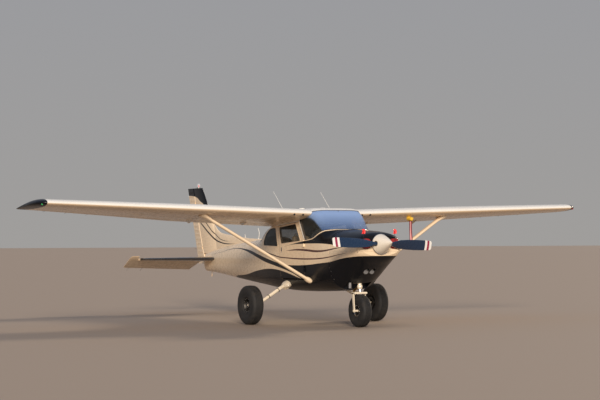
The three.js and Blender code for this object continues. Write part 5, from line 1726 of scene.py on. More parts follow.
def build_seats():
    low = [(1.07, .9), (1.07, 1.0), (1.1, 1.016), (1.415, 1.012), (1.415, .9)]
    back = [(1.428, .915), (1.43, 1.02), (1.563, 1.582), (1.64, 1.565), (1.53, .915)]
    seams = (.095, .152, .209, .266, .323)
    for name, outline, upright in (("seat_cushion", low, 0), ("seat_back", back, 1)):
        made = cushion("front_" + name + "_left", outline, (.04, .378), upright, seams)
        _, other = both(made, "front_" + name, "airframe", "seat", "front_seat")
    low = [(2.03, .83), (2.03, .995), (2.06, 1.01), (2.345, 1.006), (2.345, .83)]
    back = [(2.362, .9), (2.363, 1.02), (2.452, 1.476), (2.528, 1.462), (2.452, .9)]
    seams = (-.3, -.2, -.1, 0, .1, .2, .3)
    for name, outline, upright in (("rear_cushion", low, 0), ("rear_back", back, 1)):
        made = cushion(name, outline, (-.418, .418), upright, seams, voxel=.013)
        piece(made, "airframe", "seat", ["rear_seat"])
    base = [(2.05, .6925), (2.05, .826), (2.43, .826), (2.43, .6925)]
    piece(prism("rear_seat_box", rounded(base, .012), -.4, .4), "airframe", "trim")
    inner, outer = .075, .343
    rail = [(1.115, .6935), (1.14, .86), (1.18, .886), (1.42, .886), (1.45, .86), (1.455, .6935)]
    frames = []
    for x in (inner, outer):
        frames.append(pipe("rail", [(x, s, z) for s, z in rail], .011, 12))
        frames.append(block("track", (x - .014, x + .014), (1.0, 1.62), (.6925, .699)))
    for s in (1.2, 1.4):
        frames.append(rod("cross", (inner, s, .884), (outer, s, .884), .009))
    both(joined("seat_frame", frames), "seat_frame", "airframe", "steel", None)
    # belts over the seats' faces: points and the way that each faces
    front, up = (0, -.97, .24), (0, 0, 1)
    over = [((.30, 1.66, 1.50), (0, .97, -.24)), ((.295, 1.648, 1.575), up), ((.285, 1.6, 1.602), up),
            ((.275, 1.548, 1.585), front), ((.23, 1.49, 1.4), front), ((.16, 1.43, 1.17), front),
            ((.11, 1.395, 1.05), front)]
    lap = [((.388, 1.43, .95), (1, 0, .2)), ((.378, 1.4, 1.02), (.6, 0, .8)), ((.3, 1.385, 1.04), up),
           ((.2, 1.38, 1.043), up), ((.09, 1.38, 1.035), up)]
    both(strips("seat_belts", [over, lap], "webbing", .044, .0035, False), "seat_belts", "airframe",
         "webbing", None)
    buckle = [(1.36, 1.036), (1.42, 1.036), (1.42, 1.056), (1.36, 1.056)]
    both(prism("belt_buckle", rounded(buckle, .006), .07, .125), "belt_buckle", "airframe",
         "steel", None)


# The dials: distance across, height, radius
DIALS = [(.34, 1.5, .038), (.25, 1.5, .038), (.16, 1.5, .038), (.34, 1.41, .038), (.25, 1.41, .038),
         (.16, 1.41, .038),
         (.425, 1.5, .026), (.425, 1.43, .026), (-.12, 1.5, .026), (-.19, 1.5, .026), (-.12, 1.43, .026),
         (-.19, 1.43, .026)]


def build_panel():
    """The instrument panel's faces, its glare shield, the yokes and the engine's knobs."""
    aft = Vector((0, .995, -.1))
    face = lambda x, z: Vector((x, .56 + (z - 1.2) * .1026, z))
    rims, marks = [], []
    for x, z, radius in DIALS:
        centre = face(x, z)
        bezel = [(radius * .86, .0004), (radius * 1.1, .0004), (radius * 1.1, .005), (radius, .009),
                 (radius * .86, .004)]
        rims.append(spun("bezel", bezel, centre, aft, 32))
        for k in range(10):
            a = 2 * math.pi * k / 10
            way = Vector((math.cos(a), 0, math.sin(a)))
            plane = centre + aft * .0018
            marks.append(rod("tick", plane + way * radius * .66, plane + way * radius * .8, .0009, 4))
        lean = 1.1 + x * 9
        way = Vector((math.cos(lean), 0, math.sin(lean)))
        plane = centre + aft * .0028
        marks.append(rod("needle", plane - way * radius * .15, plane + way * radius * .62, .0014, 6, .0005))
    for z, tall in ((1.515, .04), (1.46, .05), (1.4, .045), (1.35, .03)):
        a, b = face(0, z - tall / 2), face(0, z + tall / 2)
        rims.append(prism("radio", [(a.y + .0004, a.z), (a.y + .006, a.z), (b.y + .006, b.z),
                                    (b.y + .0004, b.z)], -.075, .085))
        for x in (-.06, .07):
            knob = [(0, .006), (.009, .006), (.008, .02), (0, .021)]
            rims.append(spun("knob", knob, face(x, z), aft, 16))
    piece(joined("panel_bezels", rims), "airframe", "dash")
    piece(joined("panel_marks", marks), "airframe", "white", smooth=0)
    shield = [(.42, 1.6035), (.42, 1.6115), (.625, 1.6035), (.64, 1.59), (.63, 1.58), (.604, 1.5905)]
    piece(prism("glare_shield", rounded(shield, .004), -.4, .4), "airframe", "trim")
    yokes = []
    grip = [(-.115, .075), (-.128, .02), (-.11, -.022), (-.06, -.036), (0, -.03), (.06, -.036),
            (.11, -.022), (.128, .02), (.115, .075)]
    for x in (.25, -.25):
        yokes.append(rod("shaft", (x, .5755, 1.335), (x, .76, 1.33), .011))
        yokes.append(pipe("grip", [(x + a, .765, 1.33 + b) for a, b in grip], .0125, 14))
        yokes.append(button("boss", (x, .75, 1.325), (0, 1, 0), .034, .03))
    piece(joined("yokes", yokes), "airframe", "dash")
    knob = [(0, .0004), (.005, .0004), (.005, .045), (.017, .05), (.018, .062), (.012, .068), (0, .069)]
    for x, color in ((-.025, "dash"), (.035, "seal"), (.095, "flag")):
        piece(spun("engine_knob", knob, face(x, 1.27), aft, 20), "airframe", color)


# Small fittings outside

def build_plugs():
    """Stuffed plugs in the inlets, each with a handle and a marker on a stalk."""
    rows = [(-.878, -.062), (-.875, -.035), (-.868, -.016), (-.859, -.007), (-.845, -.005), (-.8, -.005),
            (-.792, -.012), (-.79, -.03)]
    for side, word in reversed(SIDES):
        plug = loft("plug", [inlet_ring(side, s, grow, 48) for s, grow in rows])
        puffed(plug, .0065, .0035)
        plug.name = "foam_plug_" + word
        piece(plug, "airframe", "foam", ["inlet_plug_" + word])
        x = side * .305 - .035
        stalk = [(x, -.872, 1.455), (x, -.89, 1.47), (x - .006, -.893, 1.53), (x - .012, -.888, 1.6)]
        piece(pipe("plug_stalk_" + word, stalk, .0032, 10), "airframe", "seal")
        flag = []
        for k in range(13):
            f = k / 12
            wide = .034 * (1 - .25 * f)
            middle = Vector((x - .012, -.888, 1.597 + .078 * f)) + Vector((.012 * math.sin(f * 3),
                                                                          .016 * f * f, 0))
            flag.append([middle + Vector((g * wide, .008 * math.sin(g * 3 + f * 2) + out * .0014, 0))
                         for out in (1, -1) for g in [out * (j / 4 - 1) for j in range(9)]])
        piece(loft("plug_marker_" + word, flag), "airframe", "flag", smooth=60)
        handle = [(Vector((side * INLET_X + d, -.8795 - .02 * math.sin(math.pi * k / 8), 1.41)),
                   Vector((0, -1, 0))) for k, d in enumerate(np.linspace(-.045, .045, 9))]
        piece(strips("plug_handle_" + word, [handle], "flag", .024, .003, False), "airframe",
              "flag")


def build_lamps():
    """The two landing lamps in the lower cowl, the beacon, the tail lamp and the lamps on the wing tips."""
    ahead = (0, -1, 0)
    for name, profile, count, slot, color, node, smooth in (
            ("reflectors", [(0, 0), (.02, 0), (.0475, .03), (.0475, .034), (.0445, .034), (.03, .016),
                            (.012, .008), (0, .007)], 40, "steel_sheet", "chrome", (), 32),
            ("bulbs", [(0, .0075), (.007, .009), (.0085, .018), (.005, .025), (0, .027)], 16, "lamp_lens",
             "white", (), 60),
            ("lenses", [(0, .0345), (.0465, .0345), (.047, .037), (.032, .042), (0, .045)], 40,
             "lamp_lens", "lens", ["landing_lamps"], 32),
            ("rims", [(.0475, .03), (.0487, .03), (.0487, .046), (.0475, .047)], 40, "steel_sheet",
             "steel", (), 32)):
        pair = [spun(name, profile, (x, LAMP_STATION, LAMP_HEIGHT), ahead, count)
                for x in (-LAMP_X, LAMP_X)]
        piece(joined("lamp_" + name, pair), "airframe", color, node, smooth)
    # beacon
    for name, profile, count, slot, color, node, smooth in (
            ("base", [(0, 2.5603), (.04, 2.5603), (.04, 2.576), (.036, 2.58), (0, 2.58)], 32,
             "steel_sheet", "steel", (), 32),
            ("lamp", [(0, 2.5803), (.014, 2.5803), (.016, 2.6), (.012, 2.622), (0, 2.63)], 16,
             "beacon_lens", "flag", (), 60),
            ("dome", [(0, 2.5803), (.0335, 2.5803), (.034, 2.6), (.031, 2.63), (.024, 2.648),
                      (.012, 2.656), (0, 2.6575)], 32, "beacon_lens", "lens", ["beacon"], 60)):
        piece(turned("beacon_" + name, profile, count, (0, 6.47)), "airframe", color, node, smooth)
    tail = spun("tail_lamp", [(0, 0), (.013, 0), (.014, .012), (.01, .024), (0, .028)], (0, 6.955, 2.41),
                (0, 1, 0), 20)
    piece(tail, "rudder", "lens", smooth=60)
    tip = [(0, -.03), (.014, -.024), (.02, 0), (.014, .024), (0, .03)]
    for side, word in SIDES:
        lamp = spun("tip_lamp_" + word, tip, (side * 5.33, .872, 2.083), (side * .6, -.8, 0), 20)
        piece(lamp, "airframe", "red_lens" if side > 0 else "green_lens", smooth=60)


def on_wing(u, x, side, out=0.0):
    """A wing's surface point and its normal."""
    (spot, up), = wing_path([u], [x], side, out)
    return spot, up


ROOF_PUCKS = ((-.47, 2.04), (-.05, 2.05))  # distance across, height
VENTS = (("left", 1, (.54, .71)), ("right", -1, (.65, .82)))
FUEL_CAP_X, COVERS_X = 1.55, (1.0, 1.8, 2.7, 3.4, 4.1, 4.8)
PITOT_X = 1.6


def build_fittings():
    sizes = bpy.context.scene.aircraft_sizes
    well = rounded([(1.718, 1.288), (1.754, 1.288), (1.754, 1.356), (1.718, 1.356)], .006)
    lever = rounded([(1.728, 1.303), (1.744, 1.303), (1.744, 1.343), (1.728, 1.343)], .005)
    for side, word in SIDES:
        # door handle in its recess, with a lock
        door = "cabin_door_" + word
        piece(plate_on("door_handle_well_" + word, CABIN_ROWS, well, side, .0004, .0022), door,
              "dash")
        piece(plate_on("door_handle_" + word, CABIN_ROWS, lever, side, .0024, .007), door,
              "engine")
        lock = button("door_lock_" + word, on_side(CABIN_ROWS, 1.736, 1.27, side),
                      section_normal(CABIN_ROWS, side * .5, 1.736, 1.27), .008, .003)
        piece(lock, door, "chrome")
    latch = button("baggage_latch", on_side(CABIN_ROWS, 2.56, 1.14, 1), (1, 0, 0), .016, .004)
    piece(latch, "baggage_door", "chrome")

    # wing fittings: air vents in the root's leading edge, fuel caps and inspection covers
    ring = [(.011, -.006), (.019, -.006), (.019, .006), (.016, .008), (.012, .007)]
    # The black disc inside each ring stands for the open inlet's dark inside: painted shade.
    inside = [(0, -.006), (.012, -.006), (.012, .004), (0, .004)]
    for word, side, xs in VENTS:
        vents = []
        for x in xs:
            spot, _ = on_wing(.014, x, -1)
            spot.x *= side
            vents += [spun("vent", profile, spot, (0, -1, -.35), 24) for profile in (ring, inside)]
        piece(joined("root_vents_" + word, vents), "airframe", "seal")
    spot, up = on_wing(.3, FUEL_CAP_X, 1)
    caps = [button("cap", spot, up, .05, .006, 40), button("cap_grip", spot + up * .006, up, .022, .01, 24)]
    both(joined("fuel_cap", caps), "fuel_cap", "airframe", "chrome", None)
    plates = [button("cover", *on_wing(.5, x, -1), .055, .0015, 40) for x in COVERS_X]
    # The covers take the same underside paint, with its painted shade.
    both(joined("wing_covers", plates), "wing_covers", "airframe", "under", None)
    pucks = [button("puck", (x, 1.06, z), (0, 0, 1), .05, .014, 32) for x, z in ROOF_PUCKS]
    piece(joined("roof_antennas", pucks), "airframe", "white")
    build_antennas(sizes.antenna_length)
    build_pitot(sizes)
    build_wicks()


def build_antennas(length):
    """The whip antennas over the cabin, the bent one behind it and the blade on the rear of the body."""
    lean = Vector((0, .75, .66))
    profile = [(0, .0004), (.02, .0004), (.014, .014), (.006, .022), (0, .022)]
    for side, word in SIDES:
        spot, _ = on_wing(.587, .49, 1)
        spot.x *= side
        foot = spun("foot", profile, spot - Vector((0, 0, .004)), (0, .3, 1), 20)
        whip = rod("whip", spot, spot + lean * length, .0042, 12, .0026)
        piece(joined("whip_antenna_" + word, [foot, whip]), "airframe", "white")
    low = Vector((0, 3.7, 1.505))
    bend = [low + Vector((0, s, z)) for s, z in ((0, 0), (-.02, .06), (-.035, .09), (-.03, .13), (.02, .21))]
    foot = button("foot", low - Vector((0, 0, .002)), (0, 0, 1), .022, .012)
    piece(joined("rear_antenna", [pipe("bent", bend, .005, 10), foot]), "airframe", "white")
    rings = [[(.004 * math.cos(a), 4.27 + z * .4 + (.022 - z * .1) * math.sin(a), 1.524 + z)
              for a in turns(16)] for z in (0, .03, .06, .075)]
    piece(loft("deck_antenna", rings), "airframe", "white")


def build_pitot(sizes):
    """The pitot tube under the left wing in its cover, with the cover's hanging streamer."""
    spot, _ = on_wing(.085, PITOT_X, -1)
    nose = spot + Vector((0, -.07, -.055))
    mast = loft("mast", [[(spot.x + .006 * math.cos(a), spot.y + .035 * f + .02 * math.sin(a),
                           spot.z + .01 - .065 * f) for a in turns(16)] for f in (0, 1)])
    tube = rod("tube", nose + Vector((0, .13, 0)), nose, .009, 20, .007)
    piece(joined("pitot_tube", [mast, tube]), "airframe", "steel")
    rows = [(0, -.012), (.024, -.01), (.036, .012), (.034, .05), (.043, .085), (.046, .118), (.03, .122),
            (.0105, .11), (.0102, .02), (0, .016)]
    cover = spun("pitot_cover", rows, nose - Vector((0, .018, 0)), (0, 1, .12), 28)
    for v in cover.data.vertices:
        v.co.z -= .004 * math.sin(v.co.y * 90) + .003 * math.cos(v.co.x * 160)
    piece(cover, "airframe", "cover", smooth=60)
    wide, long = sizes.streamer_width, sizes.streamer_length
    across, down, half_cloth = 8, 48, .0006
    rings = []
    for k in range(down + 1):
        f = k / down
        drift = .012 * math.sin(f * 5.2) * f
        ring = []
        for out in (1, -1):
            for j in range(across + 1):
                g = (j / across - .5) * out
                curl = .007 * math.sin(g * 5 + f * 3) * (.3 + f) + drift
                ring.append((nose.x + g * wide, nose.y + .028 + curl + out * half_cloth,
                             nose.z - .0345 - long * f))
        rings.append(ring)
    streamer = loft("pitot_streamer", rings)
    piece(streamer, "airframe", "streamer", smooth=60)


def build_wicks():
    """Static wicks: thin dark rods behind the control surfaces."""
    def wick(spot, way):
        spot, way = Vector(spot), Vector(way).normalized()
        return joined("wick", [rod("holder", spot - way * .012, spot + way * .02, .0035, 8),
                               rod("tail", spot + way * .018, spot + way * .13, .0018, 6)])

    made = [wick(wing_at(x)[4](.995, 1), (0, 1, -.12)) for x in (4.1, 4.5, 4.9)]
    both(joined("aileron_wicks", made), "aileron_wicks", "aileron", "seal", None)
    c, sn = math.cos(ELEVATOR_DROOP), math.sin(ELEVATOR_DROOP)
    s, z = ELEVATOR_AXIS
    made = [wick((x, s + reach * c, z - reach * sn), (0, c, -sn)) for x, reach in ((1.3, .378), (1.6, .354))]
    both(joined("elevator_wicks", made), "elevator_wicks", "elevator", "seal", None)
    made = [wick((0, fin_hinge(z) + reach, z), (0, 1, 0)) for z, reach in ((2.2, .315), (1.3, .35))]
    piece(joined("rudder_wicks", made), "rudder", "seal")


# Mouldings, seals and fasteners

def around_body(rows, outline, out=0.0):
    """A closed path from the middle along the left side's outline to the middle, and back on the right."""
    return body_path(rows, outline, 1, out) + body_path(rows, outline, -1, out)[-2:0:-1]


def build_trim():
    for side, word in SIDES:
        for name, line, body in (("door_window", DOOR_WINDOW, "cabin_door_" + word),
                                 ("quarter_window", QUARTER, "airframe")):
            frame_line = body_path(CABIN_ROWS, rounded(shrunk(line, -0.010), 0.036), side, 0.0008, True)
            piece(strips(f"{name}_frame_{word}", [frame_line], "cream", 0.016, 0.006), body,
                  "cream")
            seal_line = body_path(CABIN_ROWS, rounded(shrunk(line, 0.004), WINDOW_CORNER), side, -0.003,
                                  True)
            piece(strips(f"{name}_seal_{word}", [seal_line], "seal", 0.012, 0.006), body, "seal")
    path = around_body(CABIN_ROWS, SCREEN_BASE + ROOF_FRONT, -0.002)
    piece(strips("windscreen_seal", [path], "seal", 0.014, 0.006), "airframe", "seal")
    path = over_body(CABIN_ROWS, [(2.412, 1.765)] + REAR_GLASS + [(2.94, 1.56)])
    piece(strips("rear_window_seal", [path], "seal", 0.014, 0.005, False), "airframe", "seal")
    base = over_body(CABIN_ROWS, moved(SCREEN_BASE, -0.006, -0.011), 0.0008)
    piece(strips("windscreen_moulding", [base], "cream", 0.017, 0.006, False), "airframe",
          "cream")
    posts = [body_path(CABIN_ROWS, [(.862, 1.507), (1.062, 1.852)], side, 0.0008) for side in (1, -1)]
    piece(strips("post_mouldings", posts, "white", 0.028, 0.007, False), "airframe", "white")
    rings = [section_ring(smooth_rows(CABIN_ROWS, s), -out)
             for s, out in ((.0008, .0006), (.0008, .0026), (.0272, .0026), (.0272, .0006))]
    piece(loft("cowl_joint_band", rings + rings[:1], caps=False), "airframe", "body")


def ring_path(rows, station):
    """A path round the body at a station."""
    path = []
    for x, s, z in section_ring(smooth_rows(rows, station), quarter=16) * 2:
        up = section_normal(rows, x, s, z)
        path.append((Vector((x, s, z)) + up * PROUD, up))
    return path[:len(path) // 2 + 1]


def build_rivets():
    lines = [ring_path(TAIL_ROWS, station) for station in (3.025, 3.6, 4.15, 4.62, 5.05, 5.45, 5.82)]
    rows = [smooth_rows(TAIL_ROWS, s) for s in np.linspace(3.05, 5.95, 12)]
    for side in (1, -1):
        for share in (-0.7, -0.35, 0.0, 0.45, 0.8):
            outline = [(r[0], r[2] + share * (r[3] - r[2] if share > 0 else r[2] - r[1])) for r in rows]
            lines.append(body_path(TAIL_ROWS, outline, side, PROUD))
        for outline in ([(.04, .806), (.85, .806)], [(1.82, .806), (2.97, .806)],
                        [(.04, .775), (2.97, .775)], [(.05, .83), (.05, 1.46)], [(1.83, .84), (1.83, 1.3)],
                        [(2.63, .84), (2.63, 1.42)], [(2.97, .84), (2.97, 1.42)],
                        [(.08, 1.465), (.8, 1.465)], [(2.1, .84), (2.1, 1.34)], [(1.9, 1.36), (2.6, 1.36)],
                        [(.46, .83), (.46, 1.44)]):
            lines.append(body_path(CABIN_ROWS, outline, side, PROUD))
    piece(fasteners("body_rivets", lines, "body"), "airframe", "body")

    lines = []
    for side in (1, -1):
        for u, x1 in ((.06, 5.2), (.27, 5.2), (.295, 5.2), (.5, 5.2), (.672, 2.5)):
            lines.append(wing_path([u] * 24, np.linspace(.62, x1, 24), side))
        for x in np.arange(.8, 5.25, .4):
            lines.append(wing_path(np.linspace(.03, .66, 14), [x] * 14, side))
    rivets = fasteners("wing_rivets", lines, "white", 0.045)
    both(rivets, "wing_rivets", "airframe", "white", None)

    def on_fin(u, z, side):
        out = Vector((side, 0, 0))
        return Vector(fin_point(u, z, side)) + out * PROUD, out

    lines = []
    for side in (1, -1):
        for z in (1.5, 1.72, 1.94, 2.16, 2.38, 2.53):
            lines.append([on_fin(u, z, side) for u in np.linspace(.08, .64, 9)])
        lines.append([on_fin(.62, z, side) for z in np.linspace(1.4, 2.5, 12)])
    piece(fasteners("fin_rivets", lines, "body"), "airframe", "body")
    lines = []
    for side in (1, -1):
        surface = lambda u, x: stabiliser_point(u, x, side)
        for x in (.3, .6, .9, 1.2, 1.5):
            lines.append(wing_path(np.linspace(.05, .6, 9), [x] * 9, side, PROUD, surface))
        lines.append(wing_path([.57] * 12, np.linspace(.2, 1.5, 12), side, PROUD, surface))
    both(fasteners("stabiliser_rivets", lines, "cream"), "stabiliser_rivets", "airframe",
         "cream", None)

    lines = [body_path(COWL_ROWS, outline, side, PROUD) for side in (1, -1)
             for outline in ([(-.8, 1.285), (-.03, 1.285)], [(-.8, 1.317), (-.03, 1.317)],
                             [(-.022, .82), (-.022, 1.26)], [(-.022, 1.34), (-.022, 1.6)])]
    screws = fasteners("cowl_fasteners", lines, "steel", 0.13, 0.0075, 0.0018, 12)
    piece(screws, "airframe", "steel")


# Stage

CAMERA_LENS, CAMERA_PLACE = 97.31, (-14.011, -27.0995, 1.542)
CAMERA_TURN, CAMERA_TILT, CAMERA_ROLL = (math.radians(a) for a in (-28.112, -1.312, -0.076))
FLOOR_REACH, FLOOR_HEIGHT = 200, -0.001
SKY = ((0.0, (0.70, 0.68, 0.66)), (0.8, (0.45, 0.56, 0.8)))
SKY_STRENGTH = 0.5

# Lamps: name, the side that it shines from, strength, spread in degrees, colour
LIGHTS = (("key", (-8, -18, 7), 3.3, 14, (1.0, 0.87, 0.73)),
          ("rim", (14, 4, 6), 2.0, 8, (1.0, 0.84, 0.66)))


def build_stage():
    scene = bpy.context.scene
    camera = bpy.data.objects.new("camera", bpy.data.cameras.new("camera"))
    scene.collection.objects.link(camera)
    camera.data.sensor_width = 36.0
    camera.data.lens = CAMERA_LENS
    camera.data.clip_end = 500
    turn, tilt, roll = CAMERA_TURN, CAMERA_TILT, CAMERA_ROLL
    back = Vector((math.sin(turn) * math.cos(tilt), -math.cos(turn) * math.cos(tilt), math.sin(tilt)))
    right = (-back).cross(Vector((0, 0, 1))).normalized()
    up = right.cross(-back)
    right, up = right * math.cos(roll) + up * math.sin(roll), up * math.cos(roll) - right * math.sin(roll)
    matrix = Matrix((right, up, back)).transposed().to_4x4()
    matrix.translation = Vector(CAMERA_PLACE)
    camera.matrix_world = matrix
    scene.camera = camera

    corners = [(x * FLOOR_REACH, y * FLOOR_REACH, FLOOR_HEIGHT)
               for x, y in ((-1, -1), (1, -1), (1, 1), (-1, 1))]
    floor = new_object("floor", corners, [(0, 1, 2, 3)])
    shader = Shader("studio_floor")
    shader.set(base_color=rgb((0.33, 0.26, 0.2)), roughness=0.75)
    floor.data.materials.append(shader.material)

    world = bpy.data.worlds.new("studio")
    scene.world = world
    world.use_nodes = True
    tree = world.node_tree
    background = tree.nodes["Background"]
    coordinates = tree.nodes.new("ShaderNodeTexCoord")
    split = tree.nodes.new("ShaderNodeSeparateXYZ")
    ramp = tree.nodes.new("ShaderNodeValToRGB")
    tree.links.new(coordinates.outputs["Generated"], split.inputs[0])
    tree.links.new(split.outputs[2], ramp.inputs[0])
    tree.links.new(ramp.outputs[0], background.inputs[0])
    for element, (place, color) in zip(ramp.color_ramp.elements, SKY):
        element.position = place
        element.color = rgb(color)
    background.inputs[1].default_value = SKY_STRENGTH
    scene.view_settings.view_transform = "Standard"

    for name, place, strength, spread, color in LIGHTS:
        lamp = bpy.data.objects.new(name, bpy.data.lights.new(name, "SUN"))
        lamp.data.energy = strength
        lamp.data.angle = math.radians(spread)
        lamp.data.color = color
        scene.collection.objects.link(lamp)
        lamp.rotation_euler = (-Vector(place)).to_track_quat("-Z", "Y").to_euler()


def length_setting(name, description, default, low, high):
    return bpy.props.FloatProperty(name=name, description=description, default=default, min=low, max=high,
                                   unit="LENGTH")


def color_setting(name, description, default):
    return bpy.props.FloatVectorProperty(name=name, description=description, subtype="COLOR", size=3,
                                         min=0, max=1, default=default)


class AircraftSizes(bpy.types.PropertyGroup):
    antenna_length: length_setting("Antenna length", "Length of each whip antenna over the cabin", .66, .3, 1)
    streamer_width: length_setting("Streamer width", "Width of the streamer below the pitot cover",
                                   .058, .02, .1)
    streamer_length: length_setting("Streamer length", "Length that hangs below the pitot cover",
                                    .38, .2, .8)


class AircraftColors(bpy.types.PropertyGroup):
    cream: color_setting("Cream", "Main paint of the body", (0.88, 0.70, 0.49))
    white: color_setting("White", "Paint of the wings and roof", (0.86, 0.83, 0.76))
    gear: color_setting("Gear", "Paint of the landing gear", (0.84, 0.74, 0.58))
    # The underside paint is a cream tone made darker and browner to stand for painted shade on the wings'
    # lower faces.
    under: color_setting("Underside", "Paint below the wings", (0.80, 0.62, 0.43))
    spinner: color_setting("Spinner", "Paint of the propeller's spinner", (0.85, 0.78, 0.66))
    black: color_setting("Black", "Paint of the belly, nose top and tips", (0.005, 0.006, 0.009))
    maroon: color_setting("Maroon", "Paint of the thin stripes", (0.07, 0.018, 0.015))


def special_finishes():
    colors = bpy.context.scene.aircraft_colors
    FINISHES["blade"] = blade_finish()
    FINISHES["streamer"] = streamer_finish()
    FINISHES["screen"] = screen_reflection_finish()
    FINISHES["stabiliser"] = stabiliser_finish(colors)
    # The elevator's paint is the underside paint darkened further: painted shade, as the elevator lies in
    # shade.
    FINISHES["elevator"] = plain_paint("elevator_paint", [c * .8 for c in colors.under])


def screen_reflection_finish():
    """Glass with a painted sky reflection, blue and lighter towards the top, and curved sides painted dark
    and nearly clear.
    """
    shader = Shader("screen_glass")
    across, _, height = shader.place()
    film = shader.noise(2.5, 4.0)
    # The curved sides are painted dark and more see-through: a painted dark reflection.
    beyond = across.math("ABSOLUTE") - (height - 1.56) * 0.2
    clear = shader.ramp(beyond, 0.44, 0.455, 0.0, 1.0)
    low, high = 1.6, 1.95
    # The blue, lighter towards the top, is a painted sky reflection.
    painted_sky_reflection = shader.mix(shader.ramp(height, low, high, 0.0, 1.0), rgb((0.05, 0.10, 0.24)),
                      rgb((0.34, 0.50, 0.82)))
    painted_sky_reflection = shader.mix(clear, painted_sky_reflection, rgb((0.06, 0.065, 0.06)))
    full = shader.ramp(height, low, high, 0.42, 0.62)
    shader.set(base_color=painted_sky_reflection, roughness=shader.ramp(film, 0.4, 0.8, 0.02, 0.08),
               alpha=full * (1.0 - clear * 0.45), specular_ior_level=0.25)
    return shader.material


def streamer_finish():
    """Red cloth with a pale middle, woven."""
    shader = Shader("streamer_cloth")
    across, _, _ = shader.place()
    middle = shader.ramp((across - PITOT_X).math("ABSOLUTE"), .008, .014, 1.0, 0.0)
    weave = shader.noise(700.0, 2.0)
    shader.set(base_color=shader.mix(middle, rgb((0.16, 0.006, 0.012)), rgb((0.75, 0.36, 0.36))),
               roughness=shader.ramp(weave, .3, .7, .7, .9), normal=shader.bump(weave, .0003, .3))
    return shader.material


def blade_finish():
    """Dark blue blades with two pale bands and a red one between them."""
    shader = Shader("blade_paint")
    across, _, height = shader.place()
    rise = height - PROP_CENTRE.z
    reach = (across * across + rise * rise).math("SQRT")
    pale = rgb((0.82, 0.8, 0.76))
    stops = [(0.0, rgb((0.008, 0.024, 0.06))), (0.827, pale), (0.868, rgb((0.3, 0.02, 0.06))),
             (0.912, pale)]
    bands = shader.node("ValToRGB", {"stops": stops}, {0: reach})
    bands.socket.node.color_ramp.interpolation = "CONSTANT"
    wear = shader.noise(25.0, 4.0)
    shader.set(base_color=bands, roughness=shader.ramp(wear, 0.3, 0.8, 0.2, 0.4), coat_weight=0.5)
    return shader.material


def stabiliser_finish(colors):
    """Cream paint with a dark strip along the leading edge."""
    shader = Shader("stabiliser_paint")
    across, station, _ = shader.place()
    side = across.math("ABSOLUTE")
    first, last = STABILISER_LEAD
    lead = first + (side - STABILISER_ROOT) * ((last - first) / STABILISER_WIDE)
    strip = (1.0 - above(station, lead + 0.19)) * above(side, 0.13) * (1.0 - above(side, 1.56))
    return paint_surface(shader, shader.mix(strip, rgb(colors.cream), rgb((0.02, 0.02, 0.022)))).material


class AIRCRAFT_OT_stage(bpy.types.Operator):
    """Adds the camera, the floor and the lights."""

    bl_idname = "aircraft.stage"
    bl_label = "Stage"

    def execute(self, context):
        build_stage()
        return {"FINISHED"}


class AIRCRAFT_OT_finishes(bpy.types.Operator):
    """Makes the paints that belong to one piece."""

    bl_idname = "aircraft.finishes"
    bl_label = "Finishes"

    def execute(self, context):
        special_finishes()
        return {"FINISHED"}


class AIRCRAFT_OT_cabin(bpy.types.Operator):
    """Builds the cabin's skins, doors and windows."""

    bl_idname = "aircraft.cabin"
    bl_label = "Cabin"

    def execute(self, context):
        build_cabin()
        return {"FINISHED"}


class AIRCRAFT_OT_wings(bpy.types.Operator):
    """Builds the wings, flaps, ailerons and tips."""

    bl_idname = "aircraft.wings"
    bl_label = "Wings"

    def execute(self, context):
        build_wings()
        return {"FINISHED"}


class AIRCRAFT_OT_tail(bpy.types.Operator):
    """Builds the tail end and its surfaces."""

    bl_idname = "aircraft.tail"
    bl_label = "Tail"

    def execute(self, context):
        build_tail()
        return {"FINISHED"}


class AIRCRAFT_OT_cowl(bpy.types.Operator):
    """Builds the engine's covers."""

    bl_idname = "aircraft.cowl"
    bl_label = "Cowl"

    def execute(self, context):
        build_cowl()
        return {"FINISHED"}


class AIRCRAFT_OT_propeller(bpy.types.Operator):
    """Builds the spinner and the blades."""

    bl_idname = "aircraft.propeller"
    bl_label = "Propeller"

    def execute(self, context):
        build_propeller()
        return {"FINISHED"}


class AIRCRAFT_OT_wheels(bpy.types.Operator):
    """Builds the tyres and hubs."""

    bl_idname = "aircraft.wheels"
    bl_label = "Wheels"

    def execute(self, context):
        build_wheels()
        return {"FINISHED"}


class AIRCRAFT_OT_gear(bpy.types.Operator):
    """Builds the legs and the wing struts."""

    bl_idname = "aircraft.gear"
    bl_label = "Gear"

    def execute(self, context):
        build_gear()
        return {"FINISHED"}


class AIRCRAFT_OT_seats(bpy.types.Operator):
    """Builds the seats and their belts."""

    bl_idname = "aircraft.seats"
    bl_label = "Seats"

    def execute(self, context):
        build_seats()
        return {"FINISHED"}


class AIRCRAFT_OT_panel(bpy.types.Operator):
    """Builds the instrument panel and the yokes."""

    bl_idname = "aircraft.panel"
    bl_label = "Panel"

    def execute(self, context):
        build_panel()
        return {"FINISHED"}


class AIRCRAFT_OT_plugs(bpy.types.Operator):
    """Builds the stuffed plugs in the inlets."""

    bl_idname = "aircraft.plugs"
    bl_label = "Plugs"

    def execute(self, context):
        build_plugs()
        return {"FINISHED"}


class AIRCRAFT_OT_lamps(bpy.types.Operator):
    """Builds the lamps and the beacon."""

    bl_idname = "aircraft.lamps"
    bl_label = "Lamps"

    def execute(self, context):
        build_lamps()
        return {"FINISHED"}


class AIRCRAFT_OT_fittings(bpy.types.Operator):
    """Builds the handles, vents, antennas and the pitot tube."""

    bl_idname = "aircraft.fittings"
    bl_label = "Fittings"

    def execute(self, context):
        build_fittings()
        return {"FINISHED"}


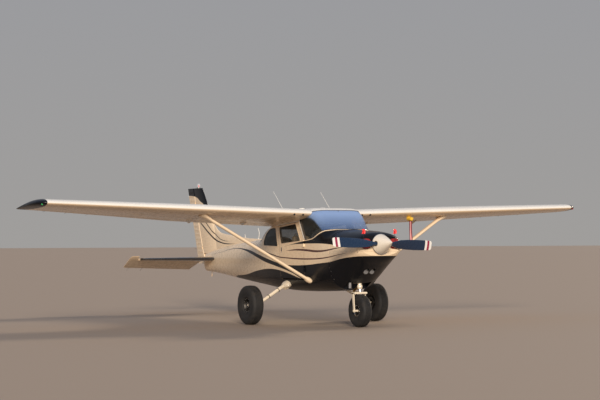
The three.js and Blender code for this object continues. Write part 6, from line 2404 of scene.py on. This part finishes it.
class AIRCRAFT_OT_trim(bpy.types.Operator):
    """Builds the windows' frames and seals and the mouldings."""

    bl_idname = "aircraft.trim"
    bl_label = "Trim"

    def execute(self, context):
        build_trim()
        return {"FINISHED"}


class AIRCRAFT_OT_rivets(bpy.types.Operator):
    """Sets the rivets and the cowl's fasteners."""

    bl_idname = "aircraft.rivets"
    bl_label = "Rivets"

    def execute(self, context):
        build_rivets()
        return {"FINISHED"}


BUILDERS = [AIRCRAFT_OT_stage, AIRCRAFT_OT_finishes, AIRCRAFT_OT_cabin, AIRCRAFT_OT_wings, AIRCRAFT_OT_tail,
            AIRCRAFT_OT_cowl, AIRCRAFT_OT_propeller, AIRCRAFT_OT_wheels, AIRCRAFT_OT_gear,
            AIRCRAFT_OT_seats,
            AIRCRAFT_OT_panel, AIRCRAFT_OT_plugs, AIRCRAFT_OT_lamps, AIRCRAFT_OT_fittings, AIRCRAFT_OT_trim,
            AIRCRAFT_OT_rivets]


class AIRCRAFT_PT_panel(bpy.types.Panel):
    """Lists the aircraft's builders."""

    bl_label = "Light aircraft"
    bl_idname = "AIRCRAFT_PT_panel"
    bl_space_type = "VIEW_3D"
    bl_region_type = "UI"
    bl_category = "Aircraft"

    def draw(self, context):
        colors = context.scene.aircraft_colors
        for name in ("cream", "white", "under", "gear", "spinner", "black", "maroon"):
            self.layout.prop(colors, name)
        for name in ("antenna_length", "streamer_width", "streamer_length"):
            self.layout.prop(context.scene.aircraft_sizes, name)
        for operator in BUILDERS:
            self.layout.operator(operator.bl_idname)


CLASSES = [AircraftSizes, AircraftColors] + BUILDERS + [AIRCRAFT_PT_panel]


def register():
    for cls in CLASSES:
        bpy.utils.register_class(cls)
    bpy.types.Scene.aircraft_sizes = bpy.props.PointerProperty(type=AircraftSizes)
    bpy.types.Scene.aircraft_colors = bpy.props.PointerProperty(type=AircraftColors)


def unregister():
    del bpy.types.Scene.aircraft_colors
    del bpy.types.Scene.aircraft_sizes
    for cls in reversed(CLASSES):
        bpy.utils.unregister_class(cls)


def main():
    register()
    bpy.ops.aircraft.stage()
    bpy.ops.aircraft.finishes()
    bpy.ops.aircraft.cabin()
    bpy.ops.aircraft.wings()
    bpy.ops.aircraft.tail()
    bpy.ops.aircraft.cowl()
    bpy.ops.aircraft.propeller()
    bpy.ops.aircraft.wheels()
    bpy.ops.aircraft.gear()
    bpy.ops.aircraft.seats()
    bpy.ops.aircraft.panel()
    bpy.ops.aircraft.plugs()
    bpy.ops.aircraft.lamps()
    bpy.ops.aircraft.fittings()
    bpy.ops.aircraft.trim()
    bpy.ops.aircraft.rivets()
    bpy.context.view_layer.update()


if __name__ == "__main__":
    main()
